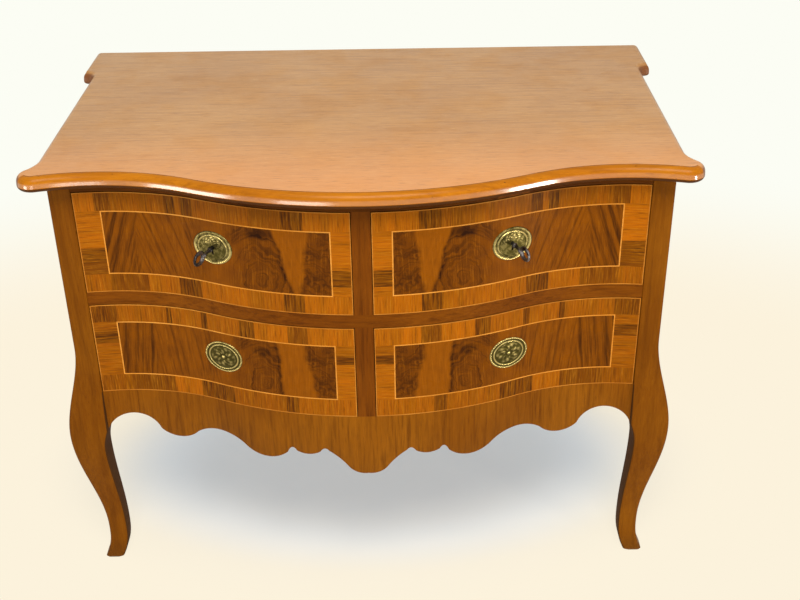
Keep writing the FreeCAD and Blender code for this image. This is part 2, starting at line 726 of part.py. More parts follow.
def build_lock(word, side, height, high):
    """A lock let into the drawer front, its bolt, and the key that stands in it."""
    place = at_plate(side)
    half = size.lock_width / 2
    wall = size.lock_wall
    near = size.lock_setback
    far = near + size.lock_thickness
    low = height - size.lock_below_key
    case = local_box("lock_box_" + word, place, (-half, half), (near, far), (low, high))
    hollow = local_box("lock_hollow_" + word, place, (wall - half, half - wall), (near + wall, far - wall),
                       (low + wall, high - wall))
    clear = size.bolt_clearance
    bolt_half = size.bolt_width / 2
    bolt_far = far - wall - clear
    bolt_near = bolt_far - size.bolt_thickness
    bolt_low = height + size.key_bit_length + clear * 2
    bolt = local_box("lock_bolt_bar_" + word, place, (-bolt_half, bolt_half), (bolt_near, bolt_far),
                     (bolt_low, high - clear))
    slot = local_box("lock_slot_" + word, place, (-bolt_half - clear, bolt_half + clear),
                     (bolt_near - clear, bolt_far + clear), (high - wall * 2, high + wall))
    eye = local_rod("lock_eye_" + word, place, size.keyhole_radius, (near - wall, near + wall * 2), height)
    keep("lock_case_" + word, cut("lock_shell_" + word, case, [hollow, slot, eye]))
    keep("lock_bolt_" + word, bolt)
    mortise = size.mortise_clearance
    mortise_x = (-bolt_half - mortise, bolt_half + mortise)
    mortise_y = (bolt_near - mortise, bolt_far + mortise)
    mortise_hole = local_box("bolt_mortise_" + word, place, mortise_x, mortise_y, (upper_ceiling, underside))
    strike_half = size.strike_width / 2
    strike_y = (-size.rail_depth, size.rail_depth * 2)
    strike_reach = local_box("strike_reach_" + word, place, (-strike_half, strike_half), strike_y,
                             (upper_ceiling, underside))
    strike_reaches.append(strike_reach)
    strike_blank = common("strike_blank_" + word, [rail_slab, strike_reach])
    keep("strike_block_" + word, cut("strike_mortised_" + word, strike_blank, [mortise_hole]))
    shaft_y = (-size.key_reach, far - wall - clear * 2)
    collar_y = (-size.key_reach, -size.key_reach + wall)
    bit_y = (near + wall + clear, near + wall + clear + size.key_bit_width)
    shaft = local_rod("key_shaft_" + word, place, size.key_radius, shaft_y, height)
    collar = local_rod("key_collar_" + word, place, size.key_collar, collar_y, height)
    bit_half = size.key_bit_thickness / 2
    bit_z = (height - size.key_bit_length, height)
    bit = local_box("key_bit_" + word, place, (-bit_half, bit_half), bit_y, bit_z)
    ring = doc.addObject("Part::Torus", "key_ring_" + word)
    ring.setExpression("Radius1", size.key_bow_radius.text)
    ring.setExpression("Radius2", size.key_bow_wire.text)
    centre = Vector(0, -float(size.key_reach + size.key_bow_radius), float(height))
    ring.Placement = place.multiply(FreeCAD.Placement(centre, FreeCAD.Rotation(Vector(0, 1, 0), 90)))
    keep("key_" + word, fuse("key_forging_" + word, [shaft, collar, bit, ring]))
    passage = local_rod("key_passage_" + word, place, size.keyhole_radius, (-wall * 4, near + wall), height)
    drop = local_box("key_drop_" + word, place, (-size.keyhole_slot / 2, size.keyhole_slot / 2),
                     (-wall * 4, near + wall), (height - size.keyhole_length, height))
    return case, fuse("keyhole_" + word, [passage, drop])


def build_drawer(level, word, side, floor, ceiling, plate_rise):
    name = "drawer_%s_%s_" % (level, word)
    low = floor + size.run_clearance
    high = ceiling - size.drawer_gap
    side_high = high - size.side_below_front
    blank = common(name + "front_blank", [front_slab, box(
        name + "front_reach", sided(side, drawer_near, drawer_far), WIDE_Y, (low, high))])
    thick = size.side_thickness
    spans = {"outer": (drawer_far - thick, drawer_far), "inner": (drawer_near, drawer_near + thick)}
    sides = {}
    for place_word, span in spans.items():
        start = sided(side, span[0], span[1])[0]
        edges_x = (float(span[0]), float(span[1]))
        sides[place_word] = drawer_side(name + place_word + "_blank", start, edges_x, low, side_high)
    groove = size.bottom_groove
    inside = (drawer_near + thick - groove, drawer_far - thick + groove)
    board_low = low + size.bottom_raise
    board_high = board_low + size.drawer_bottom
    bottom = keep(name + "bottom", common(name + "bottom_board", [bottom_plan, box(
        name + "bottom_reach", sided(side, *inside), WIDE_Y, (board_low, board_high))]))
    rear = drawer_rear - size.back_lower
    rear_y = (rear - size.drawer_back, rear)
    rear_z = (board_high, side_high - size.back_lower)
    rear_board = keep(name + "back", box(name + "back_board", sided(side, *inside), rear_y, rear_z))
    for place_word, blank_side in sides.items():
        grooved = cut(name + place_word + "_grooved", blank_side, [bottom, rear_board])
        keep(name + place_word + "_side", grooved)
    height = floor + plate_rise
    plate = oval_plate(name + "plate", at_plate(side), height)
    cutters = list(sides.values()) + [bottom]
    if level == "upper":
        case, keyhole = build_lock(word, side, height, high)
        cutters += [case, keyhole]
        plate = cut(name + "plate_pierced", plate, [keyhole])
    keep(name + "plate", plate)
    keep(name + "front", cut(name + "front_fitted", blank, cutters))


for side, word in ((1, "right"), (-1, "left")):
    build_drawer("upper", word, side, upper_floor, upper_ceiling, size.upper_plate_height)
    build_drawer("lower", word, side, lower_floor, lower_ceiling, size.lower_plate_height)

# Mortises, grooves and housings are cut with the very pieces that go into them
keep("top_front_rail", cut("top_front_rail_fitted", top_rail_blank, [upper_stile] + strike_reaches))
middle_fits = [upper_stile, lower_stile, dust_board]
keep("middle_front_rail", cut("middle_front_rail_fitted", middle_rail_blank, middle_fits))
keep("apron", cut("apron_fitted", apron_blank, [lower_stile, bottom_board]))
for word, panel in panels.items():
    keep("side_panel_" + word, cut("side_panel_fitted_" + word, panel, [dust_board, bottom_board]))
for name, blank in legs.items():
    if name.startswith("front"):
        fits = [top_rail_blank, middle_rail_blank, apron_blank, panels[name.split("_")[-1]]]
    else:
        fits = [rear_top, rear_low, back_boards, panels[name.split("_")[-1]]]
    keep(name, cut(name + "_fitted", blank, fits))

doc.recompute()
GROUPS = {"back_boards": PLANKS, "drawer_guides": len(guides), "drawer_kickers": len(kickers)}
GROUPS.update({"drawer_stops": len(stops), "glue_blocks": len(blocks)})
GROUPS["top_front_rail"] = 1 + len(strike_reaches)
for item in doc.Objects:
    if "Invalid" in item.State or "Error" in item.State:
        raise RuntimeError("%s did not build: %s" % (item.Name, item.State))
for name, item in nodes.items():
    shape = item.Shape
    if shape.isNull() or not shape.isValid() or len(shape.Solids) != GROUPS.get(name, 1):
        raise RuntimeError("%s is not sound: %d solids" % (name, len(shape.Solids)))

os.makedirs("parts", exist_ok=True)
for name, item in nodes.items():
    item.Shape.exportStep("parts/%s.step" % name)
print("%d nodes" % len(nodes))
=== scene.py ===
"""Looks of a serpentine-front chest of four drawers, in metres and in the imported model's frame."""

import bmesh
import bpy
import math
import random
from mathutils import Matrix, Vector


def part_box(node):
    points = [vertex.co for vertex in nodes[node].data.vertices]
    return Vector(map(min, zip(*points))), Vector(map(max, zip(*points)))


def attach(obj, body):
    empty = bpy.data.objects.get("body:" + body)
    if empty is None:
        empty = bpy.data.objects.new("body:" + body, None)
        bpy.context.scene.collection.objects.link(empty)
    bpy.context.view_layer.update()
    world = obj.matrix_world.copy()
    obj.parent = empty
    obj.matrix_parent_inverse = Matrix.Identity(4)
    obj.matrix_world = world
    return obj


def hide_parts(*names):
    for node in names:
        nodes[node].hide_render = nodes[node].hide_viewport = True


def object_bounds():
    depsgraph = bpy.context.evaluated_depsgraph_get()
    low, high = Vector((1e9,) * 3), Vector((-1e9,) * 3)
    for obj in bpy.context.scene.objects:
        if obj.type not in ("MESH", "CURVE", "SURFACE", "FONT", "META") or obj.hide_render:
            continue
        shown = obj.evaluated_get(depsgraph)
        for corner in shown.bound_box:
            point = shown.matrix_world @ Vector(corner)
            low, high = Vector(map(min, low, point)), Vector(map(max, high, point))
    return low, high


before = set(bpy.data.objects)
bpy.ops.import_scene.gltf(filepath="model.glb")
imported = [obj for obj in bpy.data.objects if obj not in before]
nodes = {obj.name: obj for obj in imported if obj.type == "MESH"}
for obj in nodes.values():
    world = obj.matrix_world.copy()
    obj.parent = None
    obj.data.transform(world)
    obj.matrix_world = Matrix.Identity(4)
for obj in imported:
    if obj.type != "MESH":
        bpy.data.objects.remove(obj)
cad_low, cad_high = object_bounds()


# Inner boards: dust board, bottom, partitions, back planks, rails, guide strips, stops and glue blocks.
# Pine, planed by hand, then glued, nailed and housed into the sides. It was never polished, so it has
# gone brown and dusty with age.
class Value:
    """A shader socket in Python arithmetic: each operator adds a Math node."""

    def __init__(self, finish, socket):
        self.finish = finish
        self.socket = socket

    def math(self, operation, *terms):
        return self.finish.node("ShaderNodeMath", {"operation": operation}, dict(enumerate(terms)))

    def __add__(self, other):
        return self.math("ADD", self, other)

    def __mul__(self, other):
        return self.math("MULTIPLY", self, other)

    __radd__ = __add__
    __rmul__ = __mul__

    def __sub__(self, other):
        return self.math("SUBTRACT", self, other)

    def __rsub__(self, other):
        return self.math("SUBTRACT", other, self)

    def __abs__(self):
        return self.math("ABSOLUTE", self)

    def root(self):
        return self.math("SQRT", self)

    def between(self, low, high):
        """0 at low and 1 at high, with a smooth rise between them and no change beyond."""
        settings = {"interpolation_type": "SMOOTHSTEP"}
        return self.finish.node("ShaderNodeMapRange", settings, {0: self, 1: low, 2: high, 3: 0.0, 4: 1.0})


class Finish:
    """A material in the making: node() adds one node and gives back one of its outputs."""

    def __init__(self, name, **constants):
        self.material = bpy.data.materials.new(name)
        self.material.use_nodes = True
        self.tree = self.material.node_tree
        self.surface = self.tree.nodes["Principled BSDF"]
        for socket, value in constants.items():
            self.surface.inputs[socket.replace("_", " ")].default_value = value

    def node(self, kind, settings=None, sockets=None, output=0):
        node = self.tree.nodes.new(kind)
        for setting, value in (settings or {}).items():
            setattr(node, setting, value)
        for socket, value in (sockets or {}).items():
            if isinstance(value, Value):
                self.tree.links.new(value.socket, node.inputs[socket])
            else:
                node.inputs[socket].default_value = value
        return Value(self, node.outputs[output])

    def feed(self, **values):
        for socket, value in values.items():
            self.tree.links.new(value.socket, self.surface.inputs[socket.replace("_", " ")])

    def relief(self, height, depth):
        """Adds fine relief, and gives the finish back."""
        bump = self.node("ShaderNodeBump", None, {"Strength": 1.0, "Distance": depth, "Height": height})
        self.feed(Normal=bump)
        return self

    def place(self):
        return self.node("ShaderNodeTexCoord", output="Object")

    def stretched(self, vector, factors):
        return self.node("ShaderNodeVectorMath", {"operation": "MULTIPLY"}, {0: vector, 1: factors})

    def parts(self, vector):
        split = self.node("ShaderNodeSeparateXYZ", None, {0: vector}).socket.node
        return [Value(self, socket) for socket in split.outputs]

    def noise(self, vector, scale, detail=2.0, roughness=0.5, distortion=0.0):
        return self.node("ShaderNodeTexNoise", None, {
            "Vector": vector, "Scale": scale, "Detail": detail, "Roughness": roughness,
            "Distortion": distortion})

    def mix(self, first, second, share):
        return self.node("ShaderNodeMix", {"data_type": "RGBA"}, {0: share, 6: first, 7: second}, 2)


def tint(red, green, blue):
    """A colour as it looks on screen, from 0 to 255, turned into the renderer's linear values."""
    linear = []
    for level in (red / 255, green / 255, blue / 255):
        linear.append(level / 12.92 if level <= 0.04045 else ((level + 0.055) / 1.055)**2.4)
    return (*linear, 1.0)


ALONG_X = (0.05, 1.0, 1.0)
ALONG_Y = (1.0, 0.05, 1.0)
ALONG_Z = (1.0, 1.0, 0.05)


def timber(finish, along, tones, figure=1.0, fine=1.0):
    """Colour and height of plain wood in three tones, with its grain along one axis of the chest."""
    pale, middle, dark = (tint(*tone) for tone in tones)
    place = finish.place()
    fibres = finish.stretched(place, along)
    drift = finish.noise(place, 5.0, 3.0).between(0.35, 0.65)
    streaks = finish.noise(fibres, 70.0 * fine, 5.0, 0.62, 0.4).between(0.42, 0.72)
    threads = finish.noise(fibres, 420.0, 3.0, 0.6)
    pores = finish.noise(fibres, 900.0, 1.0).between(0.60, 0.74)
    colour = finish.mix(middle, pale, drift * 0.55 + threads.between(0.4, 0.7) * 0.35)
    colour = finish.mix(colour, dark, streaks * (0.6 * figure))
    colour = finish.mix(colour, dark, pores * 0.35)
    return colour, threads * 0.6 - pores


def dress(names, finish):
    """Gives CAD pieces a finish."""
    for name in names:
        nodes[name].data.materials.clear()
        nodes[name].data.materials.append(finish.material)


def aged_pine(name, along, tones):
    finish = Finish(name, Roughness=0.8, Specular_IOR_Level=0.2)
    colour, height = timber(finish, along, tones, 1.2)
    dust = finish.noise(finish.place(), 11.0, 4.0, 0.6).between(0.52, 0.75)
    finish.feed(Base_Color=finish.mix(colour, tint(120, 104, 84), dust * 0.4))
    return finish.relief(height, 0.0004)


board_pine = aged_pine("board_pine", ALONG_X, ((196, 160, 108), (170, 130, 82), (112, 74, 40)))
strip_pine = aged_pine("strip_pine", ALONG_Y, ((190, 152, 100), (162, 122, 76), (104, 70, 38)))
dress(["dust_board", "bottom_board", "back_boards", "rear_top_rail", "rear_bottom_rail"], board_pine)
dress(["partition_upper", "partition_lower", "drawer_guides", "drawer_kickers", "drawer_stops",
       "glue_blocks"], strip_pine)


# Legs: each leg is one length of walnut with its corner post, sawn to the cabriole curve from the front
# and again from the side, then rounded over with a scraper and polished.
def lofted(loops):
    """Points and faces of a skin through loops of equal count, closed at both ends."""
    count = len(loops[0])
    points = [point for loop in loops for point in loop]
    faces = [tuple(range(count)), tuple(range(len(points) - count, len(points)))]
    for start in range(0, len(points) - count, count):
        for number in range(count):
            after = (number + 1) % count
            faces.append((start + number, start + after, start + count + after, start + count + number))
    return points, faces


def piece(name, points, faces, finish, body, slot, sharp=35.0):
    """A new piece from points and faces."""
    work = bmesh.new()
    corners = [work.verts.new(point) for point in points]
    for face in faces:
        work.faces.new([corners[number] for number in face])
    return seat(name, work, finish, body, sharp)


def placed(name, data):
    """A new object in the scene."""
    made = bpy.data.objects.new(name, data)
    bpy.context.scene.collection.objects.link(made)
    return made


def seat(name, work, finish, body, sharp=35.0):
    """Sets a mesh on a body, smooth except where its faces meet at a sharp angle."""
    mesh = bpy.data.meshes.new(name)
    bmesh.ops.recalc_face_normals(work, faces=work.faces)
    work.to_mesh(mesh)
    work.free()
    mesh.shade_smooth()
    mesh.set_sharp_from_angle(angle=math.radians(sharp))
    mesh.materials.append(finish.material)
    made = placed(name, mesh)
    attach(made, body)
    return made


POLISH_SHINE = 0.035
FIBRE_DEPTH = 0.00012


def old_polish(name, **constants):
    """A finish with the faint shine of old polish."""
    return Finish(name, Specular_IOR_Level=POLISH_SHINE, **constants)


def rubbed(finish, gloss):
    """Roughness of a polish that cloths and hands have worn unevenly."""
    return finish.noise(finish.place(), 14.0, 3.0).between(0.4, 0.7) * 0.12 + gloss


def polished(name, along, tones, gloss=0.32, figure=1.0, fine=1.0):
    finish = old_polish(name)
    colour, height = timber(finish, along, tones, figure, fine)
    finish.feed(Base_Color=colour, Roughness=rubbed(finish, gloss))
    return finish.relief(height, FIBRE_DEPTH)


POST_WIDTH = 0.037
POST_DEPTH = 0.048
PANEL_SET_IN = 0.013
PANEL_TONGUE = 0.010
BACK_SET_IN = 0.004
KNEE_OUT = 0.031
KNEE_FORWARD = 0.012
KNEE_DROP = 0.088
ANKLE_HEIGHT = 0.072
ANKLE_WIDTH = 0.034
ANKLE_INSET = 0.001
ANKLE_BACK = 0.018
REAR_ANKLE_INSET = 0.006
CALF = 0.009
CROOK_DROP = 0.080
TOE_OUT = 0.014
TOE_FORWARD = 0.007
TOE_SPLAY = 0.6
TOE_FORWARD_SPLAY = 0.4
CROOK_SLOPE = 0.4
TOE_TUCK = 0.004
POST_ROUNDING = 0.0025
LEG_ROUNDING = 0.005
CORNER_STEPS = 4
LEG_STEP = 0.008
LEG_STEPS = 60
STRAIGHT_START = 0.020
INWARD_FACING = 0.6
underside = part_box("top_board")[0].z
lower_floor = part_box("bottom_board")[1].z
post_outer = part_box("side_panel_right")[1].x + PANEL_SET_IN
post_inner = post_outer - POST_WIDTH
post_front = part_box("side_panel_right")[0].y + PANEL_TONGUE - POST_DEPTH
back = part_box("back_boards")[1].y + BACK_SET_IN


def curve_at(height, stations):
    """The place at a height on a smooth curve through (height, place, slope) stations, lowest first."""
    if height >= stations[-1][0]:
        return stations[-1][1]
    for (low, start, start_slope), (high, end, end_slope) in zip(stations, stations[1:]):
        if height <= high:
            break
    span = high - low
    share = (height - low) / span
    keep_start = 2 * share**3 - 3 * share**2 + 1
    keep_end = 1 - keep_start
    bend_start = share**3 - 2 * share**2 + share
    bend_end = share**3 - share**2
    return keep_start * start + keep_end * end + span * (bend_start * start_slope + bend_end * end_slope)


def leg_profile(outer, inner, way, knee, ankle, toe, splay):
    """The outer and inner outline of a leg seen square on; way is the direction in which it swells."""
    knee_height = lower_floor - KNEE_DROP
    outside = [(0.0, outer + way * toe, -way * splay), (ANKLE_HEIGHT, outer - way * ankle, 0.0),
               (knee_height, outer + way * knee, 0.0), (lower_floor + KNEE_DROP, outer, 0.0)]
    inside = [(0.0, outer + way * (toe - ANKLE_WIDTH), -way * splay),
              (ANKLE_HEIGHT, outer - way * (ankle + ANKLE_WIDTH), 0.0),
              (knee_height - ANKLE_HEIGHT / 2, inner + way * CALF, 0.0),
              (lower_floor - CROOK_DROP, inner, -way * CROOK_SLOPE)]
    return outside, inside


def rounded_loop(x_span, y_span, height, rounding):
    """A rectangle with rounded corners, at a height."""
    left, right = min(x_span) + rounding, max(x_span) - rounding
    near, far = min(y_span) + rounding, max(y_span) - rounding
    loop = []
    for quarter, (x, y) in enumerate([(right, far), (left, far), (left, near), (right, near)]):
        for step in range(CORNER_STEPS + 1):
            angle = math.pi / 2 * (quarter + step / CORNER_STEPS)
            loop.append((x + rounding * math.cos(angle), y + rounding * math.sin(angle), height))
    return loop


def build_leg(name, side, outer_y, inner_y, way, knee, ankle, toe, finish):
    outside_x, inside_x = leg_profile(side * post_outer, side * post_inner, side, KNEE_OUT, ANKLE_INSET,
                                      TOE_OUT, TOE_SPLAY)
    outside_y, inside_y = leg_profile(outer_y, inner_y, way, knee, ankle, toe, TOE_FORWARD_SPLAY)
    heights = [0.0, TOE_TUCK * 3 / 8, TOE_TUCK]
    heights += [LEG_STEP * step for step in range(1, LEG_STEPS + 1)]
    heights += [lower_floor + KNEE_DROP + STRAIGHT_START, underside]
    loops = []
    for height in heights:
        blend = min(1.0, max(0.0, (height - lower_floor + CROOK_DROP) / CROOK_DROP))
        rounding = LEG_ROUNDING + (POST_ROUNDING - LEG_ROUNDING) * blend
        tuck = max(0.0, TOE_TUCK - height)
        x_span = (curve_at(height, outside_x) - side * tuck, curve_at(height, inside_x) + side * tuck)
        y_span = (curve_at(height, outside_y) - way * tuck, curve_at(height, inside_y) + way * tuck)
        loops.append(rounded_loop(x_span, y_span, height, rounding))
    leg = piece(name + "_shaped", *lofted(loops), finish, "carcase", "frame_walnut")
    # Faces low down that look under the chest are marked for painted shade.
    bare = leg.data.attributes.new("bare", "FLOAT", "FACE")
    for number, face in enumerate(leg.data.polygons):
        inward = max(-side * face.normal.x, -way * face.normal.y)
        bare.data[number].value = 1.0 if inward > INWARD_FACING and face.center.z < lower_floor else 0.0
    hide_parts(name)


def marked(finish, name):
    """The value that a mesh keeps under a name."""
    return finish.node("ShaderNodeAttribute", {"attribute_name": name}, None, "Fac")


def leg_finish():
    """Polished; faces that look under the chest painted dark brown as shade, and rougher; feet darker near
    the floor.
    """
    finish = old_polish("leg_walnut")
    colour, height = timber(finish, ALONG_Z, ((134, 78, 10), (112, 60, 4), (80, 38, 2)), 0.8)
    bare = marked(finish, "bare")
    tip = 1 - finish.parts(finish.place())[2].between(0.0, 0.05)
    # Painted shade: faces that look under the chest turn dark brown; the feet also turn darker towards the
    # floor.
    finish.feed(Base_Color=finish.mix(colour, tint(62, 40, 20), bare * 0.85 + tip * 0.35))
    finish.feed(Roughness=bare * 0.35 + 0.34)
    return finish.relief(height, FIBRE_DEPTH)


leg_walnut = leg_finish()
for side, word in ((1, "right"), (-1, "left")):
    build_leg("front_leg_" + word, side, post_front, post_front + POST_DEPTH, -1, KNEE_FORWARD, ANKLE_BACK,
              TOE_FORWARD - ANKLE_BACK, leg_walnut)
    build_leg("rear_leg_" + word, side, back, back - POST_DEPTH, 1, 0.0, REAR_ANKLE_INSET, -REAR_ANKLE_INSET,
              leg_walnut)


# Sides: one wide walnut board each, its grain running from front to back, tongued into the posts. The lower
# edge is sawn to a shallow arch.
side_walnut = polished("side_walnut", ALONG_Y, ((164, 98, 34), (138, 78, 20), (92, 46, 8)))
dress(["side_panel_left", "side_panel_right"], side_walnut)


# Front frame: rails, centre stiles and the scalloped apron. They are sawn to the serpentine from thick
# walnut, tenoned into the posts and faced with walnut, the apron's grain standing upright.
BOW = 0.090
BOW_RADIUS = 0.600
HOLLOW = 0.410
SHADE_SPAN = (0.016, 0.003)
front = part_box("middle_front_rail")[0].y + BOW
radii = (HOLLOW**2 + BOW**2) / (2 * BOW)
hollow_radius = radii - BOW_RADIUS
bow_centre = front - BOW + BOW_RADIUS
hollow_centre = front - hollow_radius


def face_y(x, depth=0.0):
    """How far back the front lies at x, at a depth behind the face."""
    if abs(x) < HOLLOW * (BOW_RADIUS - depth) / radii:
        return bow_centre - math.sqrt((BOW_RADIUS - depth)**2 - x**2)
    return hollow_centre + math.sqrt((hollow_radius + depth)**2 - (abs(x) - HOLLOW)**2)


def shaded_rail():
    """Rail walnut painted near black, as shade, in the corner under the top."""
    finish = old_polish("top_rail_walnut", Roughness=0.5)
    colour, height = timber(finish, ALONG_X, ((104, 54, 6), (78, 38, 4), (46, 20, 2)), 1.0, 2.0)
    # Painted shade: the rail darkens towards its top edge, under the top's overhang.
    corner = finish.parts(finish.place())[2].between(*(underside - drop for drop in SHADE_SPAN))
    finish.feed(Base_Color=finish.mix(colour, tint(24, 11, 3), corner))
    return finish.relief(height, FIBRE_DEPTH)


rail_walnut = polished("rail_walnut", ALONG_X, ((130, 71, 8), (104, 52, 4), (68, 30, 2)), fine=2.0)
stile_walnut = polished("stile_walnut", ALONG_Z, ((124, 66, 8), (102, 50, 4), (68, 30, 2)), fine=2.0)
apron_walnut = polished("apron_walnut", ALONG_Z, ((146, 86, 12), (122, 67, 6), (84, 41, 3)),
                        gloss=0.34, figure=1.1, fine=3.0)
dress(["top_front_rail"], shaded_rail())
dress(["middle_front_rail", "strike_block_left", "strike_block_right"], rail_walnut)
dress(["centre_stile_upper", "centre_stile_lower"], stile_walnut)

APRON_THICKNESS = 0.022
APRON_EDGE = 0.0022
APRON_ARRIS = APRON_EDGE * 0.3
PENDANT_DROP = 0.120
FACE_STEP = 0.004
SCALLOPS = [(0.036, 0.118, 0.103), (0.074, 0.083, 0.070), (0.131, 0.084, 0.073), (0.212, 0.100, 0.086),
            (0.301, 0.066, 0.080), (0.368, 0.096, 0.082), (post_inner, 0.049, 0.080)]
NOTCHES = [end_x for end_x, crest_drop, end_drop in SCALLOPS[1:3]]
NOTCH_REACH = 0.0055
NOTCH_STEPS = 8


def arc_drop(x, start, crest, end):
    """The drop at x on the circular arc through three points."""
    (x1, y1), (x2, y2), (x3, y3) = start, crest, end
    twice = 2 * (x1 * (y2 - y3) + x2 * (y3 - y1) + x3 * (y1 - y2))
    squares = (x1**2 + y1**2, x2**2 + y2**2, x3**2 + y3**2)
    centre_x = (squares[0] * (y2 - y3) + squares[1] * (y3 - y1) + squares[2] * (y1 - y2)) / twice
    centre_y = (squares[0] * (x3 - x2) + squares[1] * (x1 - x3) + squares[2] * (x2 - x1)) / twice
    radius = math.hypot(x1 - centre_x, y1 - centre_y)
    rise = math.sqrt(max(0.0, radius**2 - (x - centre_x)**2))
    return centre_y + math.copysign(rise, y2 - centre_y)


def apron_stations():
    """(x, drop) along the right half of the lower edge."""
    stations = []
    start = (0.0, PENDANT_DROP)
    for end_x, crest_drop, end_drop in SCALLOPS:
        end = (end_x, end_drop)
        crest = ((start[0] + end_x) / 2, crest_drop)
        steps = max(4, round((end_x - start[0]) / FACE_STEP))
        for step in range(steps):
            x = start[0] + (end_x - start[0]) * step / steps
            stations.append((x, arc_drop(x, start, crest, end)))
        start = end
    return stations + [start]


def notched(stations):
    """The stations with the points of the edge's two notches filed round."""
    for middle in NOTCHES:
        before = [station for station in stations if station[0] <= middle - NOTCH_REACH]
        after = [station for station in stations if station[0] >= middle + NOTCH_REACH]
        first, last = before[-1], after[0]
        tip = min(drop for x, drop in stations if first[0] < x < last[0])
        peak = (middle, 2 * tip - (first[1] + last[1]) / 2)
        rounded = []
        for step in range(1, NOTCH_STEPS):
            share = step / NOTCH_STEPS
            pulls = [(first, (1 - share)**2), (peak, 2 * share * (1 - share)), (last, share**2)]
            rounded.append(tuple(sum(point[axis] * pull for point, pull in pulls) for axis in (0, 1)))
        stations = before + rounded + after
    return stations


def build_apron():
    right = notched(apron_stations())
    stations = [(-x, drop) for x, drop in reversed(right[1:])] + right
    loops = []
    for x, drop in stations:
        low = lower_floor - drop
        section = [(0.0, lower_floor), (0.0, low + APRON_EDGE), (APRON_ARRIS, low + APRON_ARRIS),
                   (APRON_EDGE, low), (APRON_THICKNESS - APRON_EDGE, low),
                   (APRON_THICKNESS, low + APRON_EDGE), (APRON_THICKNESS, lower_floor)]
        loops.append([(x, face_y(x, depth), height) for depth, height in section])
    shaped = piece("apron_shaped", *lofted(loops), apron_walnut, "carcase", "frame_walnut", sharp=50.0)
    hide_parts("apron")


build_apron()


# Top: a wide walnut board, painted lighter towards the front as painted light, with a rounded moulding glued
# round its front and sides and mitred at the flared ears. The front one is polished orange, with a thin dark
# joint where it meets the board.
EDGE_STRIP = 0.012
EDGE_REACH = 0.0111
EDGE_BATTER = 0.0004
EDGE_ROUNDING = 0.0125
EDGE_TURN = 85.5
EDGE_STEPS = 9
EDGE_FLAT = (0.08, 0.92)
FOOT_REACH = 0.008
FOOT_ROUNDING = 0.0078
FOOT_STEPS = 8
SIDE_RECESS = 0.020
REAR_BLOCK = 0.115
EAR_RADIUS = 0.026
EAR_SWEEP = 0.060
FRONT_OVERHANG = 0.036
JOINT = ((-0.0005, -0.0004), (-0.0004, 0.00012), (0.0004, 0.00012), (0.0005, -0.0004))
top = cad_high.z


def arc_points(centre, radius, start, end, outward, steps):
    """Points on an arc, each with its outward direction; outward is -1 where the arc is hollow."""
    points = []
    for step in range(steps + 1):
        angle = start + (end - start) * step / steps
        way = (math.cos(angle), math.sin(angle))
        point = (centre[0] + radius * way[0], centre[1] + radius * way[1])
        points.append((point, (outward * way[0], outward * way[1])))
    return points


def right_edge():
    """The top's edge from the middle of the front to the rear right corner, with outward directions."""
    half = cad_high.x
    edge_radius = hollow_radius - FRONT_OVERHANG
    bow_radius = BOW_RADIUS + FRONT_OVERHANG
    ear_x = half - EAR_RADIUS
    ear_y = hollow_centre + math.sqrt((edge_radius + EAR_RADIUS)**2 - (ear_x - HOLLOW)**2)
    sweep_x = half - SIDE_RECESS + EAR_SWEEP
    sweep_y = ear_y + math.sqrt((EAR_SWEEP + EAR_RADIUS)**2 - (sweep_x - ear_x)**2)
    turn = math.asin(HOLLOW / radii)
    ear_start = math.atan2(ear_y - hollow_centre, ear_x - HOLLOW)
    ear_end = math.atan2(sweep_y - ear_y, sweep_x - ear_x)
    points = arc_points((0.0, bow_centre), bow_radius, -math.pi / 2, turn - math.pi / 2, 1, 40)
    points += arc_points((HOLLOW, hollow_centre), edge_radius, math.pi / 2 + turn, ear_start, -1, 40)[1:]
    points += arc_points((ear_x, ear_y), EAR_RADIUS, ear_start - math.pi, ear_end, 1, 24)[1:]
    points += arc_points((sweep_x, sweep_y), EAR_SWEEP, ear_end + math.pi, math.pi, -1, 12)[1:]
    cove_y = cad_high.y - REAR_BLOCK - SIDE_RECESS
    points += arc_points((half, cove_y), SIDE_RECESS, math.pi, math.pi / 2, -1, 8)[:-1]
    points.append(((half, cove_y + SIDE_RECESS), (1.0, -1.0)))
    points.append(((half, cad_high.y), (1.0, 0.0)))
    return points


def mirrored(points):
    return [((-point[0], point[1]), (-way[0], way[1])) for point, way in reversed(points)]


def edge_section():
    """The moulding from the joint on the upper face, round the edge, to the joint underneath."""
    section = [(EDGE_STRIP, top)]
    for step in range(EDGE_STEPS + 1):
        angle = math.radians(EDGE_TURN * step / EDGE_STEPS)
        inset = EDGE_BATTER + EDGE_REACH * (1 - math.sin(angle))
        section.append((inset, top - EDGE_ROUNDING * (1 - math.cos(angle))))
    inset, height = section[-1]
    foot = underside + FOOT_ROUNDING
    section += [(inset * (1 - share), height + (foot - height) * share) for share in EDGE_FLAT]
    for step in range(FOOT_STEPS + 1):
        angle = math.pi / 2 * step / FOOT_STEPS
        section.append((FOOT_REACH * (1 - math.cos(angle)), foot - FOOT_ROUNDING * math.sin(angle)))
    section.append((EDGE_STRIP, underside))
    return section


def edge_loops(points, section):
    """A section of the edge, set square to it at each point."""
    return [[(x - way_x * inset, y - way_y * inset, height) for inset, height in section]
            for (x, y), (way_x, way_y) in points]


